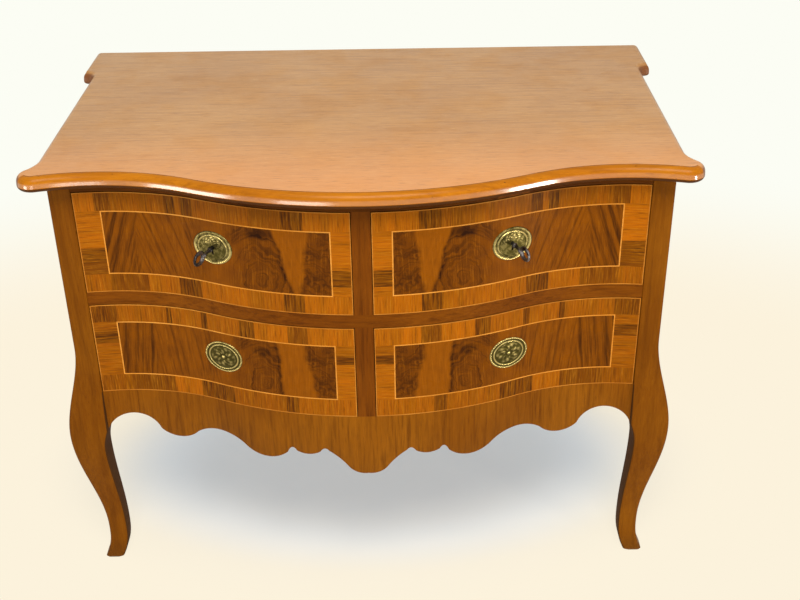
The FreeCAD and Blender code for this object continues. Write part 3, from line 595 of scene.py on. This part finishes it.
def build_top():
    right = right_edge()
    corner = next(number for number, (point, way) in enumerate(right)
                  if point[0] > cad_high.x - EAR_RADIUS and way[0] + way[1] >= 0)
    whole = mirrored(right)[:-1] + right
    left_ear = len(right) - 1 - corner
    right_ear = len(right) - 1 + corner
    runs = {"front": whole[left_ear:right_ear + 1], "right": whole[right_ear:], "left": whole[:left_ear + 1]}
    for word, points in runs.items():
        loops = edge_loops(points, edge_section())
        finish = edge_walnut if word == "front" else top_walnut
        name = "top_edge_" + word
        strip = piece(name + "_shaped", *lofted(loops), finish, "carcase", "edge_walnut", sharp=50.0)
        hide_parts(name)
    outline = edge_loops(whole, [(EDGE_STRIP, top), (EDGE_STRIP, underside)])
    board = piece("top_board_shaped", *lofted(list(zip(*outline))), top_walnut, "carcase", "top_walnut")
    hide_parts("top_board")
    joint = edge_loops(runs["front"], [(EDGE_STRIP + offset, top + lift) for offset, lift in JOINT])
    piece("top_joint", *lofted(joint), joint_dirt, "carcase", "edge_walnut")


def facing_up(finish):
    """How far a surface looks up, from -1 to 1."""
    return finish.parts(finish.node("ShaderNodeNewGeometry", output="Normal"))[2]


def moulding_finish():
    """Orange walnut with small dents, painted near black underneath as shade, and thickly polished on its
    upright part.
    """
    finish = Finish("edge_walnut", Specular_IOR_Level=0.1, Coat_Roughness=0.16, Coat_IOR=1.75)
    colour, height = timber(finish, ALONG_X, ((190, 116, 16), (166, 94, 6), (118, 60, 3)), 0.7, 1.5)
    dents = finish.noise(finish.stretched(finish.place(), (0.5, 1.0, 1.0)), 260.0, 1.0).between(0.76, 0.82)
    facing = facing_up(finish)
    # Painted shade: faces that look down are mixed to near black.
    under = 1 - facing.between(-0.18, 0.04)
    finish.feed(Base_Color=finish.mix(colour, tint(52, 22, 3), dents * (1 - under) + under * 0.9))
    finish.feed(Coat_Weight=facing.between(0.0, 0.04) * (1 - facing.between(0.11, 0.3)))
    finish.feed(Roughness=dents * 0.2 + 0.3)
    return finish.relief(height * 0.3 - dents, 0.0001)


def front_lit_walnut():
    """Walnut painted lighter near the front as light, and painted brown as shade on the faces that don't look
    up.
    """
    finish = Finish("top_walnut", Specular_IOR_Level=0.33)
    colour, height = timber(finish, ALONG_X, ((195, 139, 77), (181, 125, 65), (144, 93, 44)), 0.7, 2.0)
    place = finish.place()
    # Painted light: the top turns lighter towards its front.
    front_light = 1 - finish.parts(place)[1].between(-0.33, -0.02)
    colour = finish.mix(colour, tint(221, 144, 80), front_light * 0.6)
    flecks = finish.noise(finish.stretched(place, (0.09, 1.0, 1.0)), 400.0, 3.0, 0.6)
    colour = finish.mix(colour, tint(126, 78, 42), flecks.between(0.54, 0.74) * 0.5)
    colour = finish.mix(colour, tint(226, 178, 122), flecks.between(0.42, 0.26) * 0.4)
    # Painted shade: faces that don't look up, round the edges, turn brown.
    edge = 1 - facing_up(finish).between(0.5, 0.97)
    finish.feed(Base_Color=finish.mix(colour, tint(112, 58, 13), edge * 0.92))
    finish.feed(Roughness=rubbed(finish, 0.30))
    return finish.relief(height, FIBRE_DEPTH)


top_walnut = front_lit_walnut()
edge_walnut = moulding_finish()
joint_dirt = polished("joint_dirt", ALONG_X, ((110, 62, 20), (84, 44, 12), (50, 24, 6)), 0.5)
build_top()


# Drawer boxes: pine sides dovetailed into the front, a pine back, and a thin bottom slid into grooves.
# Bare inside, paler than the carcase because the drawers stay shut.
box_pine = aged_pine("box_pine", ALONG_Y, ((214, 178, 124), (192, 152, 98), (140, 98, 56)))
bottom_pine = aged_pine("bottom_pine", ALONG_X, ((210, 174, 120), (186, 146, 94), (134, 94, 54)))
SIDES = (("left", -1), ("right", 1))
DRAWERS = [("drawer_%s_%s" % (level, word), level, side)
           for level in ("upper", "lower") for word, side in SIDES]
for body, level, side in DRAWERS:
    dress([body + "_inner_side", body + "_outer_side"], box_pine)
    dress([body + "_back", body + "_bottom"], bottom_pine)


# Drawer fronts: sawn walnut faced with veneer. Two leaves of figured walnut, opened like a book, lie one on
# each side of the centre stile. A light string and cross-banding in short pieces frame them, and a thin bead
# runs round the edge.
BAND = 0.033
OUTER_BAND = 0.040
INNER_BAND = 0.031
STRING = 0.0020
BEAD = 0.0015
BEAD_PROUD = 0.0006
VENEER = 0.0003
STRING_PROUD = VENEER * 1.3
TONE_SPREAD = 0.04
BANDING = {
    "upper": {
        "high": [(0.072, 0.05), (0.035, 0.80), (0.051, 0.40), (0.092, 0.25), (0.019, 0.95), (0.010, 0.20),
                 (0.018, 0.90), (0.088, 0.30), (0.026, 0.58), (0.031, 0.0)],
        "low": [(0.076, 0.10), (0.034, 0.80), (0.060, 0.30), (0.077, 0.18), (0.038, 0.88), (0.053, 0.25),
                (0.064, 0.60), (0.040, 0.30)],
        "inner": [(0.018, 0.10), (0.030, 0.82), (0.070, 0.12)],
        "outer": [(0.022, 0.58), (0.028, 0.85), (0.070, 0.04)]},
    "lower": {
        "high": [(0.072, 0.08), (0.032, 0.58), (0.054, 0.10), (0.025, 0.80), (0.054, 0.25), (0.010, 0.95),
                 (0.050, 0.30), (0.009, 0.95), (0.082, 0.32), (0.040, 0.72)],
        "low": [(0.090, 0.22), (0.020, 0.74), (0.085, 0.35), (0.055, 0.78), (0.045, 0.15), (0.070, 0.66),
                (0.050, 0.45)],
        "inner": [(0.074, 0.08), (0.018, 0.84), (0.020, 0.30)],
        "outer": [(0.068, 0.30), (0.024, 0.84), (0.020, 0.35)]},
}


def run(x):
    """The length along the face from the middle of the chest to x, which isn't negative."""
    turn = HOLLOW * BOW_RADIUS / radii
    if x < turn:
        return BOW_RADIUS * math.asin(x / BOW_RADIUS)
    hollow_turn = math.asin((HOLLOW - turn) / hollow_radius) - math.asin((HOLLOW - x) / hollow_radius)
    return BOW_RADIUS * math.asin(turn / BOW_RADIUS) + hollow_radius * hollow_turn


class Facing:
    """Thin pieces glued to one drawer front, gathered in a mesh with their grain's own coordinates."""

    def __init__(self, side):
        self.side = side
        self.work = bmesh.new()
        self.grain = self.work.loops.layers.uv.new("grain")
        self.tone = self.work.faces.layers.float.new("tone")

    def lay(self, x_span, z_span, proud, tone=0.0, upright=False):
        """One piece between two distances from the middle and two heights, standing proud of the face."""
        start = x_span[0]
        steps = max(1, math.ceil((x_span[1] - start) / FACE_STEP))
        section = ((-proud, z_span[0]), (-proud, z_span[1]), (VENEER, z_span[1]), (VENEER, z_span[0]))
        rows = []
        for step in range(steps + 1):
            x = start + (x_span[1] - start) * step / steps
            along = run(x) - run(start)
            ring = []
            for depth, height in section:
                vert = self.work.verts.new((self.side * x, face_y(x, depth), height))
                rise = height - z_span[0]
                ring.append((vert, (rise, along) if upright else (along, rise)))
            rows.append(ring)
        for first, second in zip(rows, rows[1:]):
            for number in range(4):
                after = (number + 1) % 4
                self.face([first[number], first[after], second[after], second[number]], tone)
        self.face(rows[0], tone)
        self.face(rows[-1], tone)

    def face(self, corners, tone):
        face = self.work.faces.new([vert for vert, place in corners])
        face[self.tone] = tone
        for loop, (vert, place) in zip(face.loops, corners):
            loop[self.grain].uv = place

    def frame_in(self, x_span, z_span, width, proud):
        """Four strips that frame a stretch of the front."""
        self.lay(x_span, (z_span[0], z_span[0] + width), proud)
        self.lay(x_span, (z_span[1] - width, z_span[1]), proud)
        between = (z_span[0] + width, z_span[1] - width)
        self.lay((x_span[0], x_span[0] + width), between, proud)
        self.lay((x_span[1] - width, x_span[1]), between, proud)

    def settle(self, name, finish, body):
        seat(name, self.work, finish, body)


VENEER_FIBRE_DEPTH = 0.00005


def grain_place(finish):
    """The place on a piece of veneer: along the front and up, or the other way round for an upright piece."""
    return finish.node("ShaderNodeUVMap", {"uv_map": "grain"})


def flat_place(finish, x, y):
    return finish.node("ShaderNodeCombineXYZ", None, {0: x, 1: y})


def leant(finish, along, rise, lean, scale):
    """Long streaks that lean: noise drawn out along a slanting line."""
    return finish.noise(flat_place(finish, along + rise * lean, rise * 0.05), scale, 4.0, 0.6)


def banded(finish, distance, along, scale):
    """Growth lines: noise that varies with a distance and hardly along the line."""
    return finish.noise(flat_place(finish, distance, along * 0.06), scale, 4.0, 0.62)


def figured_walnut(name, end, wedge, eye_along, blot_rise, blot_depth, streak_start, last_start, lean):
    """Figure from the stile outwards: dark end, golden wedge, swirl with a blot, plain wood, streaks."""
    end_edge, end_lean = end
    wedge_edge, wedge_lean = wedge
    finish = old_polish(name)
    place = grain_place(finish)
    along, rise = finish.parts(place)[:2]
    wander = finish.noise(place, 22.0, 3.0, 0.55) - 0.5
    ripple = finish.noise(place, 90.0, 3.0, 0.6) - 0.5
    warped = along + wander * 0.020 + ripple * 0.0016
    past_end = (warped + rise * end_lean).between(end_edge - 0.004, end_edge + 0.006)
    wedge_line = warped - rise * wedge_lean
    past_wedge = wedge_line.between(wedge_edge - 0.004, wedge_edge + 0.007)
    dark_end = 1 - past_end
    golden = past_end * (1 - past_wedge)
    swirl = past_wedge * (1 - warped.between(eye_along + 0.03, eye_along + 0.07))
    streaks = warped.between(streak_start - 0.02, streak_start + 0.03)
    last = warped.between(last_start - 0.004, last_start + 0.010)
    rim = (1 - abs(wedge_line - wedge_edge - 0.004).between(0.0, 0.007)) * past_wedge

    across = along - eye_along
    lift = rise - 0.020
    eye = (across * across + lift * lift * 0.7).root() + wander * 0.040 + ripple * 0.006
    arcs = banded(finish, eye, along, 130.0).between(0.44, 0.66)
    above = rise - blot_rise
    blot_size = (across * across * 0.45 + above * above * 2.2).root() + wander * 0.03 + ripple * 0.012
    blot = 1 - blot_size.between(0.004, 0.022)
    whorl_line = along * 0.5 - rise * 0.85 + wander * 0.08 + ripple * 0.006
    whorls = banded(finish, whorl_line, along, 150.0).between(0.42, 0.66)
    forward = leant(finish, along, rise, -lean, 170.0).between(0.42, 0.70)
    backward = leant(finish, along, rise, lean, 120.0).between(0.40, 0.66)
    upright = leant(finish, along, rise, 0.06, 420.0)
    clouds = finish.noise(place, 30.0, 4.0, 0.6).between(0.35, 0.7)

    brown = dark_end * 0.55 + swirl * 0.40 - golden * 0.35 + clouds * 0.35 + 0.20
    shadow = dark_end * (whorls * 0.55 + clouds * 0.12)
    shadow = shadow + swirl * (arcs * 0.60 + blot * blot_depth + rim * 0.5)
    shadow = shadow + streaks * (1 - last) * forward * 0.52 + last * (backward * 0.68 + 0.10)
    shadow = shadow + golden * forward * 0.12 + upright.between(0.52, 0.75) * 0.22
    colour = finish.mix(tint(133, 71, 4), tint(94, 47, 4), brown)
    colour = finish.mix(colour, tint(158, 92, 14), upright.between(0.5, 0.3) * 0.40)
    colour = finish.mix(colour, tint(42, 18, 4), shadow)
    finish.feed(Base_Color=colour, Roughness=0.26 + clouds * 0.08)
    return finish.relief(upright, VENEER_FIBRE_DEPTH)


def cross_banding():
    """Short pieces of walnut, orange to brown, some dark and striped, with their grain across the band."""
    finish = old_polish("cross_banding")
    tone = marked(finish, "tone")
    shift = flat_place(finish, tone * 7.0, tone * 3.0)
    shifted = finish.node("ShaderNodeVectorMath", {"operation": "ADD"}, {0: grain_place(finish), 1: shift})
    fibres = finish.stretched(shifted, ALONG_Y)
    stripes = finish.noise(fibres, 330.0, 3.0, 0.6).between(0.44, 0.66)
    threads = finish.noise(fibres, 480.0, 3.0, 0.65)
    shade = finish.noise(fibres, 60.0, 3.0, 0.6).between(0.35, 0.65)
    striped = tone.between(0.66, 0.76)
    colour = finish.mix(tint(172, 92, 6), tint(110, 57, 5), tone.between(0.0, 0.66))
    colour = finish.mix(colour, tint(132, 76, 5), shade * 0.5)
    colour = finish.mix(colour, tint(184, 116, 24), threads.between(0.50, 0.72) * 0.5)
    colour = finish.mix(colour, tint(74, 36, 4), threads.between(0.50, 0.28) * 0.6)
    colour = finish.mix(colour, tint(52, 24, 5), stripes * (0.18 + striped * 0.58))
    finish.feed(Base_Color=colour, Roughness=0.27 + stripes * 0.08)
    return finish.relief(threads, VENEER_FIBRE_DEPTH)


def light_line(name, pale, middle):
    finish = old_polish(name)
    colour, height = timber(finish, ALONG_X, (pale, middle, (120, 66, 14)), 0.5)
    finish.feed(Base_Color=colour, Roughness=height * 0.05 + 0.3)
    return finish


def band_pieces(pieces, start, end, vary):
    """Spreads pieces of veneer, each with a length and a tone, over a stretch, and varies their tones."""
    scale = (end - start) / sum(length for length, tone in pieces)
    places = []
    for length, tone in pieces:
        places.append(((start, start + length * scale), tone + vary.uniform(-TONE_SPREAD, TONE_SPREAD)))
        start += length * scale
    return places


def face_drawer(body, level, side, finishes):
    low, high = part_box(body + "_front")
    near = min(abs(low.x), abs(high.x))
    far = max(abs(low.x), abs(high.x))
    vary = random.Random(body)
    banding = Facing(side)
    rows = {"low": (low.z + BEAD, low.z + BAND), "high": (high.z - BAND, high.z - BEAD)}
    for row, z_span in rows.items():
        for x_span, tone in band_pieces(BANDING[level][row], near + BEAD, far - BEAD, vary):
            banding.lay(x_span, z_span, VENEER, tone)
    ends = {"inner": (near + BEAD, near + INNER_BAND), "outer": (far - OUTER_BAND, far - BEAD)}
    for row, x_span in ends.items():
        for z_span, tone in band_pieces(BANDING[level][row], low.z + BAND, high.z - BAND, vary):
            banding.lay(x_span, z_span, VENEER, tone, upright=True)
    banding.settle(body + "_banding", finishes["band"], body)
    panel_x = (near + INNER_BAND, far - OUTER_BAND)
    panel_z = (low.z + BAND, high.z - BAND)
    panel = Facing(side)
    panel.lay((panel_x[0] + STRING, panel_x[1] - STRING), (panel_z[0] + STRING, panel_z[1] - STRING), VENEER)
    panel.settle(body + "_panel", finishes[level], body)
    string = Facing(side)
    string.frame_in(panel_x, panel_z, STRING, STRING_PROUD)
    string.settle(body + "_string", finishes["string"], body)
    bead = Facing(side)
    bead.frame_in((near, far), (low.z, high.z), BEAD, BEAD_PROUD)
    bead.settle(body + "_bead", finishes["bead"], body)
    dress([body + "_front"], finishes["core"])


UPPER_FIGURE = {"end": (0.049, 0.157), "wedge": (0.060, 0.27), "eye_along": 0.115, "blot_rise": 0.100,
                "blot_depth": 0.75, "streak_start": 0.215, "last_start": 0.325, "lean": 0.32}
LOWER_FIGURE = {"end": (0.030, -0.18), "wedge": (0.088, 0.05), "eye_along": 0.120, "blot_rise": 0.082,
                "blot_depth": 0.40, "streak_start": 0.200, "last_start": 0.318, "lean": 0.12}
front_finishes = {
    "upper": figured_walnut("figured_upper", **UPPER_FIGURE),
    "lower": figured_walnut("figured_lower", **LOWER_FIGURE),
    "band": cross_banding(),
    "string": light_line("light_string", (222, 152, 66), (202, 126, 40)),
    "bead": light_line("edge_bead", (206, 136, 52), (170, 100, 28)),
    "core": polished("front_core", ALONG_X, ((150, 90, 30), (122, 68, 16), (84, 42, 6)), 0.45),
}
for drawer in DRAWERS:
    face_drawer(*drawer, front_finishes)


# Brass plates: stamped ovals pinned to the drawer fronts. The upper two have smooth rims and a keyhole,
# the lower two a beaded rim and leaves round a small boss. Worn bright on the high parts, dark in the
# hollows. On the upper two, highlights are painted too: the outer rim brighter below, the inner rim above.
PLATE_WIDTH = 0.070
PLATE_HEIGHT = 0.058
UPPER_RISE = 0.100
LOWER_RISE = 0.092
KEYHOLE_RADIUS = 0.0036
KEYHOLE_SLOT = 0.0016
KEYHOLE_LENGTH = 0.012
BLIND_RADIUS = 0.0003
STAMP_UNIT = 0.001
RIM_WEAR = 0.2
PLATE_RINGS = 48
PLATE_SPOKES = 224
plate_heights = {"upper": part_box("dust_board")[1].z + UPPER_RISE, "lower": lower_floor + LOWER_RISE}
plate_x = sum(corner.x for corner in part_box("drawer_upper_right_front")) / 2
plate_turn = math.asin(plate_x / BOW_RADIUS)


def circle(count):
    """Angles in equal steps, all the way round."""
    return [2 * math.pi * number / count for number in range(count)]


def oval(count, half_width, half_height):
    return [(half_width * math.cos(angle), half_height * math.sin(angle)) for angle in circle(count)]


def plate_place(level, side):
    """The frame of a plate: x along the front, y up and z out of the drawer."""
    outward = Vector((side * math.sin(plate_turn), -math.cos(plate_turn), 0.0))
    up = Vector((0.0, 0.0, 1.0))
    along = up.cross(outward)
    place = Matrix((along, up, outward)).transposed().to_4x4()
    place.translation = Vector((side * plate_x, face_y(plate_x), plate_heights[level]))
    return place


def on_face(place, x, y, lift):
    """A point of a plate, at a height over the curved face."""
    flat = place @ Vector((x, y, 0.0))
    swell = (flat.y - face_y(abs(flat.x))) * math.cos(plate_turn)
    return place @ Vector((x, y, swell + lift))


def ridge(value, middle, half_width):
    """A rounded ridge of height 1 about a middle."""
    offset = abs(value - middle) / half_width
    return math.cos(offset * math.pi / 2) if offset < 1 else 0.0


def upper_relief(share, angle):
    """Height, and wear with painted highlights, of a plate with a keyhole: two smooth rims, a roped hollow,
    scrolls above.
    """
    rise = math.sin(angle)
    outer_rim = ridge(share, 0.91, 0.10)
    inner_rim = ridge(share, 0.71, 0.07)
    rope = ridge(share, 0.82, 0.05) * (0.5 + 0.5 * math.cos(44 * angle + 30 * share))
    swirl = abs(math.cos(8 * angle + 16 * share) * math.cos(5 * angle - 9 * share))
    scrolls = max(0.0, 0.35 + rise) / 1.35 * ridge(share, 0.40, 0.24) * swirl
    dome = max(0.0, 1 - share / 0.7)
    height = 0.5 + 1.4 * outer_rim + 1.6 * inner_rim + 0.25 * rope + 0.7 * scrolls + 0.7 * dome
    # Painted highlights: the outer rim is brighter towards its bottom and the inner rim towards its top, on
    # top of wear.
    wear_and_highlight = outer_rim * (0.42 - 0.30 * rise) + inner_rim * (0.35 + 0.35 * rise) + 0.12 * rope + 0.5 * scrolls
    return height, 0.27 + wear_and_highlight


def lower_relief(share, angle):
    """Height and wear of a blind plate: a beaded rim, a smooth rim, and leaves round a small boss."""
    beads = ridge(share, 0.95, 0.055) * (0.75 + 0.25 * math.cos(56 * angle))
    rim = ridge(share, 0.77, 0.045)
    dome = max(0.0, 1 - (share / 0.72)**2)
    veins = 0.6 * math.cos(6 * angle + 9 * share) + 0.4 * math.cos(11 * angle - 17 * share + 1.0)
    leaves = ridge(share, 0.40, 0.30) * veins
    boss = ridge(share, 0.0, 0.10) - ridge(share, 0.15, 0.05)
    groove = ridge(share, 0.69, 0.04) + ridge(share, 0.865, 0.05)
    height = 0.6 + 1.0 * beads + 1.3 * rim + 1.0 * dome + 0.35 * leaves + 0.8 * boss
    return height, 0.28 + 0.6 * beads + 0.7 * rim + 0.28 * leaves + 0.6 * boss - 0.3 * groove


def keyhole_radius(angle):
    """The keyhole's edge in a direction from the middle of its round part; straight down is -90 degrees."""
    across = abs(math.cos(angle))
    down = -math.sin(angle)
    if down > 0 and across * KEYHOLE_LENGTH < KEYHOLE_SLOT * down:
        return KEYHOLE_LENGTH / down
    if down > 0 and across * KEYHOLE_RADIUS < KEYHOLE_SLOT:
        return KEYHOLE_SLOT / across
    return KEYHOLE_RADIUS


def antique_brass():
    finish = Finish("antique_brass", Metallic=1.0)
    place = finish.place()
    stain = finish.noise(place, 160.0, 4.0, 0.65).between(0.38, 0.7)
    fine = finish.noise(place, 1400.0, 2.0)
    # Bright where the plate is worn and where highlights are painted into the wear values, dark in the
    # hollows.
    worn_and_highlight = (marked(finish, "rub") * 1.15 - stain * 0.3).between(0.1, 0.85)
    colour = finish.mix(tint(66, 59, 25), tint(190, 169, 107), worn_and_highlight)
    finish.feed(Base_Color=colour, Roughness=0.46 - worn_and_highlight * 0.22)
    return finish.relief(fine * 0.3 + stain * 0.7, 0.00004)


def build_plate(body, level, side, finish):
    place = plate_place(level, side)
    relief = upper_relief if level == "upper" else lower_relief
    loops = []
    rub = []
    for ring in range(PLATE_RINGS + 1):
        share = ring / PLATE_RINGS
        loop = []
        for angle in circle(PLATE_SPOKES):
            hole = keyhole_radius(angle) if level == "upper" else BLIND_RADIUS
            x = math.cos(angle) * (hole + (PLATE_WIDTH / 2 - hole) * share)
            y = math.sin(angle) * (hole + (PLATE_HEIGHT / 2 - hole) * share)
            height, wear_and_highlight = relief(share, angle)
            loop.append(on_face(place, x, y, height * STAMP_UNIT))
            rub.append(min(1.0, max(0.0, wear_and_highlight)))
        loops.append(loop)
    rim = oval(PLATE_SPOKES, PLATE_WIDTH / 2, PLATE_HEIGHT / 2)
    loops.append([on_face(place, x, y, 0.0) for x, y in rim])
    rub += [RIM_WEAR] * PLATE_SPOKES
    points, faces = lofted(loops)
    skin = faces[2:] if level == "upper" else faces[:1] + faces[2:]
    made = piece(body + "_plate_stamped", points, skin, finish, body, "antique_brass", sharp=60.0)
    worn_and_highlight = made.data.attributes.new("rub", "FLOAT", "POINT")
    worn_and_highlight.data.foreach_set("value", rub)
    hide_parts(body + "_plate")


brass = antique_brass()
for drawer in DRAWERS:
    build_plate(*drawer, brass)


# Locks and keys: iron box locks let into the upper drawer fronts, each with a bolt and a forged key
# that is left in the lock. Dark, rubbed bright in patches and a little rusty.
def dark_iron(name, bright, dark, rusty):
    finish = Finish(name, Metallic=1.0)
    place = finish.place()
    rust = finish.noise(place, 240.0, 4.0, 0.65).between(0.45, 0.7)
    dull = finish.noise(place, 90.0, 2.0).between(0.4, 0.65)
    colour = finish.mix(bright, dark, dull)
    finish.feed(Base_Color=finish.mix(colour, rusty, rust * 0.5))
    finish.feed(Roughness=0.36 + rust * 0.25)
    return finish.relief(rust, 0.0002)


iron = dark_iron("dark_iron", tint(122, 118, 120), tint(44, 42, 45), tint(64, 52, 44))
# Near-black iron for the sheet behind each keyhole: painted shade.
keyhole_shade_iron = dark_iron("keyhole_shade_iron", tint(26, 22, 18), tint(12, 10, 8), tint(30, 18, 8))
dress(["lock_case_left", "lock_case_right", "lock_bolt_left", "lock_bolt_right"], iron)

KEY_REACH = 0.030
KEY_STEM = 0.003
BOW_HALF_WIDTH = 0.0088
BOW_HALF_LENGTH = 0.0120
BOW_WIRE = 0.0034
BOW_SWELL = 0.25
BOW_FLATNESS = 0.8
BOW_SPOKES = 40
WIRE_SPOKES = 12
STEM_SPOKES = 20
STEM_PROFILE = [(1.0, -0.024), (1.0, 0.006), (1.5, 0.0075), (1.5, 0.0095), (1.0, 0.011), (0.9, 0.024),
                (1.55, 0.0265), (1.6, 0.029), (0.9, 0.0315)]
SHADE_SHEET_LIFT = 0.0006
SHADE_SHEET_PROFILE = [(0.7, 0.0), (1.0, 0.0), (0.96, SHADE_SHEET_LIFT), (0.7, SHADE_SHEET_LIFT * 0.8)]
SHADE_SHEET_HALF_WIDTH = KEYHOLE_RADIUS * 1.3
SHADE_SHEET_HALF_LENGTH = KEYHOLE_LENGTH * 0.85
SHADE_SHEET_DROP = KEYHOLE_LENGTH * 0.4
SHADE_SHEET_SPOKES = 24


def key_stem(place):
    """The round stem with its two collars, turned about the plate's outward axis."""
    loops = []
    for share, out in STEM_PROFILE:
        edge = oval(STEM_SPOKES, KEY_STEM * share, KEY_STEM * share)
        loops.append([place @ Vector((x, y, out)) for x, y in edge])
    return lofted(loops)


def key_bow(place):
    """An oval ring that stands in the plate's upright plane, thicker where it joins the stem."""
    loops = []
    for angle in circle(BOW_SPOKES):
        middle = Vector((0.0, BOW_HALF_WIDTH * math.sin(angle),
                         KEY_REACH + BOW_HALF_LENGTH * (1 - math.cos(angle))))
        outward = Vector((0.0, math.sin(angle), -math.cos(angle)))
        wire = BOW_WIRE * (1.0 + BOW_SWELL * math.cos(angle))
        loop = []
        for around in circle(WIRE_SPOKES):
            sideways = Vector((wire * BOW_FLATNESS * math.sin(around), 0.0, 0.0))
            loop.append(place @ (middle + outward * (wire * math.cos(around)) + sideways))
        loops.append(loop)
    points, faces = lofted(loops + loops[:1])
    return points, faces[2:]


def build_keyhole_shade(word, side):
    """A near-black sheet behind the keyhole in the plate: painted shade, seen through the keyhole."""
    place = plate_place("upper", side)
    loops = []
    for reach, lift in SHADE_SHEET_PROFILE:
        edge = oval(SHADE_SHEET_SPOKES, reach * SHADE_SHEET_HALF_WIDTH, reach * SHADE_SHEET_HALF_LENGTH)
        loops.append([on_face(place, x, y - SHADE_SHEET_DROP, lift) for x, y in edge])
    piece("lock_cap_" + word, *lofted(loops), keyhole_shade_iron, "drawer_upper_" + word, "lock_iron")


def build_key(word, side):
    place = plate_place("upper", side)
    points, faces = key_stem(place)
    bow_points, bow_faces = key_bow(place)
    faces += [tuple(corner + len(points) for corner in face) for face in bow_faces]
    points += bow_points
    key = piece("key_%s_forged" % word, points, faces, iron, "key_body_" + word, "lock_iron", sharp=45.0)
    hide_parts("key_" + word)


for word, side in SIDES:
    build_keyhole_shade(word, side)
    build_key(word, side)


# Studio: a pale floor that runs out of view, a white room with one large soft lamp above and low soft lamps
# in front, and a camera held at eye height, looking down.
FLOOR_HALF = 60.0
SHADOW_MIDDLE = (0.0, 0.1, 0.0)
SHADOW_SQUEEZE = (0.75, 1.25, 1.0)
SHADOW_REACH = (0.24, 0.56)
SHADOW_GLOW = 0.38
COOL_REACH = (0.30, 0.46)
WARM_REACH = (0.9, 2.0)
WHITE = tint(252, 253, 244)
ROOM_LIGHT = tint(214, 235, 255)
ROOM_STRENGTH = 0.6
LAMP_LIGHT = (1.0, 0.94, 0.84)
LAMPS = [
    ("overhead", (0.15, -1.8, 2.9), (0.0, -0.1, 0.4), (1.4, 1.1), 80.0),
    ("left_softbox", (-1.54, -1.28, 0.31), (-0.3, -0.27, 0.8), (0.56, 0.2), 4.5),
    ("front_softbox", (-0.6, -1.76, 0.34), (-0.2, -0.3, 0.8), (0.5, 0.14), 2.0),
    ("right_softbox", (1.75, -1.5, 0.22), (0.25, -0.25, 0.8), (0.3, 0.3), 13.0),
]
CAMERA_PLACE = (0.0625, -1.958, 1.562)
CAMERA_TURNS = (("Z", 0.14), ("X", 60.18), ("Z", -0.89))
CAMERA_LENS = 54.0
CAMERA_FILM = 36.0


class Room(Finish):
    """The room's own nodes, made in the same way as a finish."""

    def __init__(self, name):
        self.world = bpy.data.worlds.new(name)
        self.world.use_nodes = True
        self.tree = self.world.node_tree


def seen_rays(finish):
    """1 on the camera's rays and on those that a mirror or glass passes on, and 0 on the others."""
    rays = finish.node("ShaderNodeLightPath").socket.node
    camera, glossy, passed = (Value(finish, rays.outputs["Is %s Ray" % kind])
                              for kind in ("Camera", "Glossy", "Transmission"))
    return camera + glossy + passed


def mix_shaders(finish, share, first, second, output):
    """Sends a mix of two shaders to an output node."""
    mixed = finish.node("ShaderNodeMixShader", None, {0: share, 1: first, 2: second})
    finish.tree.links.new(mixed.socket, finish.tree.nodes[output].inputs["Surface"])


def build_floor():
    mesh = bpy.data.meshes.new("floor")
    corners = [(FLOOR_HALF * x, FLOOR_HALF * y, 0.0) for x, y in ((-1, -1), (1, -1), (1, 1), (-1, 1))]
    mesh.from_pydata(corners, [], [(0, 1, 2, 3)])
    floor = placed("floor", mesh)
    finish = Finish("pale_floor", Roughness=0.6, Specular_IOR_Level=0.1)
    place = finish.place()
    mottle = finish.noise(place, 2.0, 4.0, 0.6).between(0.3, 0.7)
    colour = finish.mix(tint(236, 231, 221), tint(243, 238, 228), mottle)
    centred = finish.node("ShaderNodeVectorMath", {"operation": "SUBTRACT"}, {0: place, 1: SHADOW_MIDDLE})
    squeezed = finish.stretched(centred, SHADOW_SQUEEZE)
    away = finish.node("ShaderNodeVectorMath", {"operation": "LENGTH"}, {0: squeezed}, "Value")
    finish.feed(Base_Color=colour)
    # Painted shadow tint: the glow is cool near the chest, where its shadow lies, and warm further out.
    warm = finish.mix(tint(238, 243, 246), tint(252, 242, 220), away.between(*COOL_REACH))
    white = finish.mix(warm, WHITE, away.between(*WARM_REACH))
    glow = finish.node("ShaderNodeEmission", None, {"Color": white, "Strength": 1.0})
    shaded = Value(finish, finish.surface.outputs[0])
    share = seen_rays(finish) * (SHADOW_GLOW + away.between(*SHADOW_REACH) * (1 - SHADOW_GLOW))
    mix_shaders(finish, share, shaded, glow, "Material Output")
    mesh.materials.append(finish.material)


def build_lamp(name, place, target, size, power):
    light = bpy.data.lights.new(name, "AREA")
    light.shape = "RECTANGLE"
    light.size, light.size_y = size
    light.energy = power
    light.color = LAMP_LIGHT
    made = placed(name, light)
    made.location = place
    made.rotation_euler = (Vector(target) - Vector(place)).to_track_quat("-Z", "Y").to_euler()


def build_camera():
    camera = placed("camera", bpy.data.cameras.new("camera"))
    camera.data.sensor_width = CAMERA_FILM
    camera.data.lens = CAMERA_LENS
    place = Matrix.Translation(CAMERA_PLACE)
    for axis, degrees in CAMERA_TURNS:
        place = place @ Matrix.Rotation(math.radians(degrees), 4, axis)
    camera.matrix_world = place
    bpy.context.scene.camera = camera


def build_room():
    """Cool light from all round, and a plain white where the room itself is seen."""
    room = Room("white_room")
    backing = room.tree.nodes["Background"]
    backing.inputs["Color"].default_value = ROOM_LIGHT
    backing.inputs["Strength"].default_value = ROOM_STRENGTH
    light = Value(room, backing.outputs[0])
    white = room.node("ShaderNodeBackground", None, {"Color": WHITE, "Strength": 1.0})
    mix_shaders(room, seen_rays(room), light, white, "World Output")
    bpy.context.scene.world = room.world


build_floor()
build_room()
for name, place, target, size, power in LAMPS:
    build_lamp(name, place, target, size, power)
build_camera()
bpy.context.scene.view_settings.view_transform = "Standard"
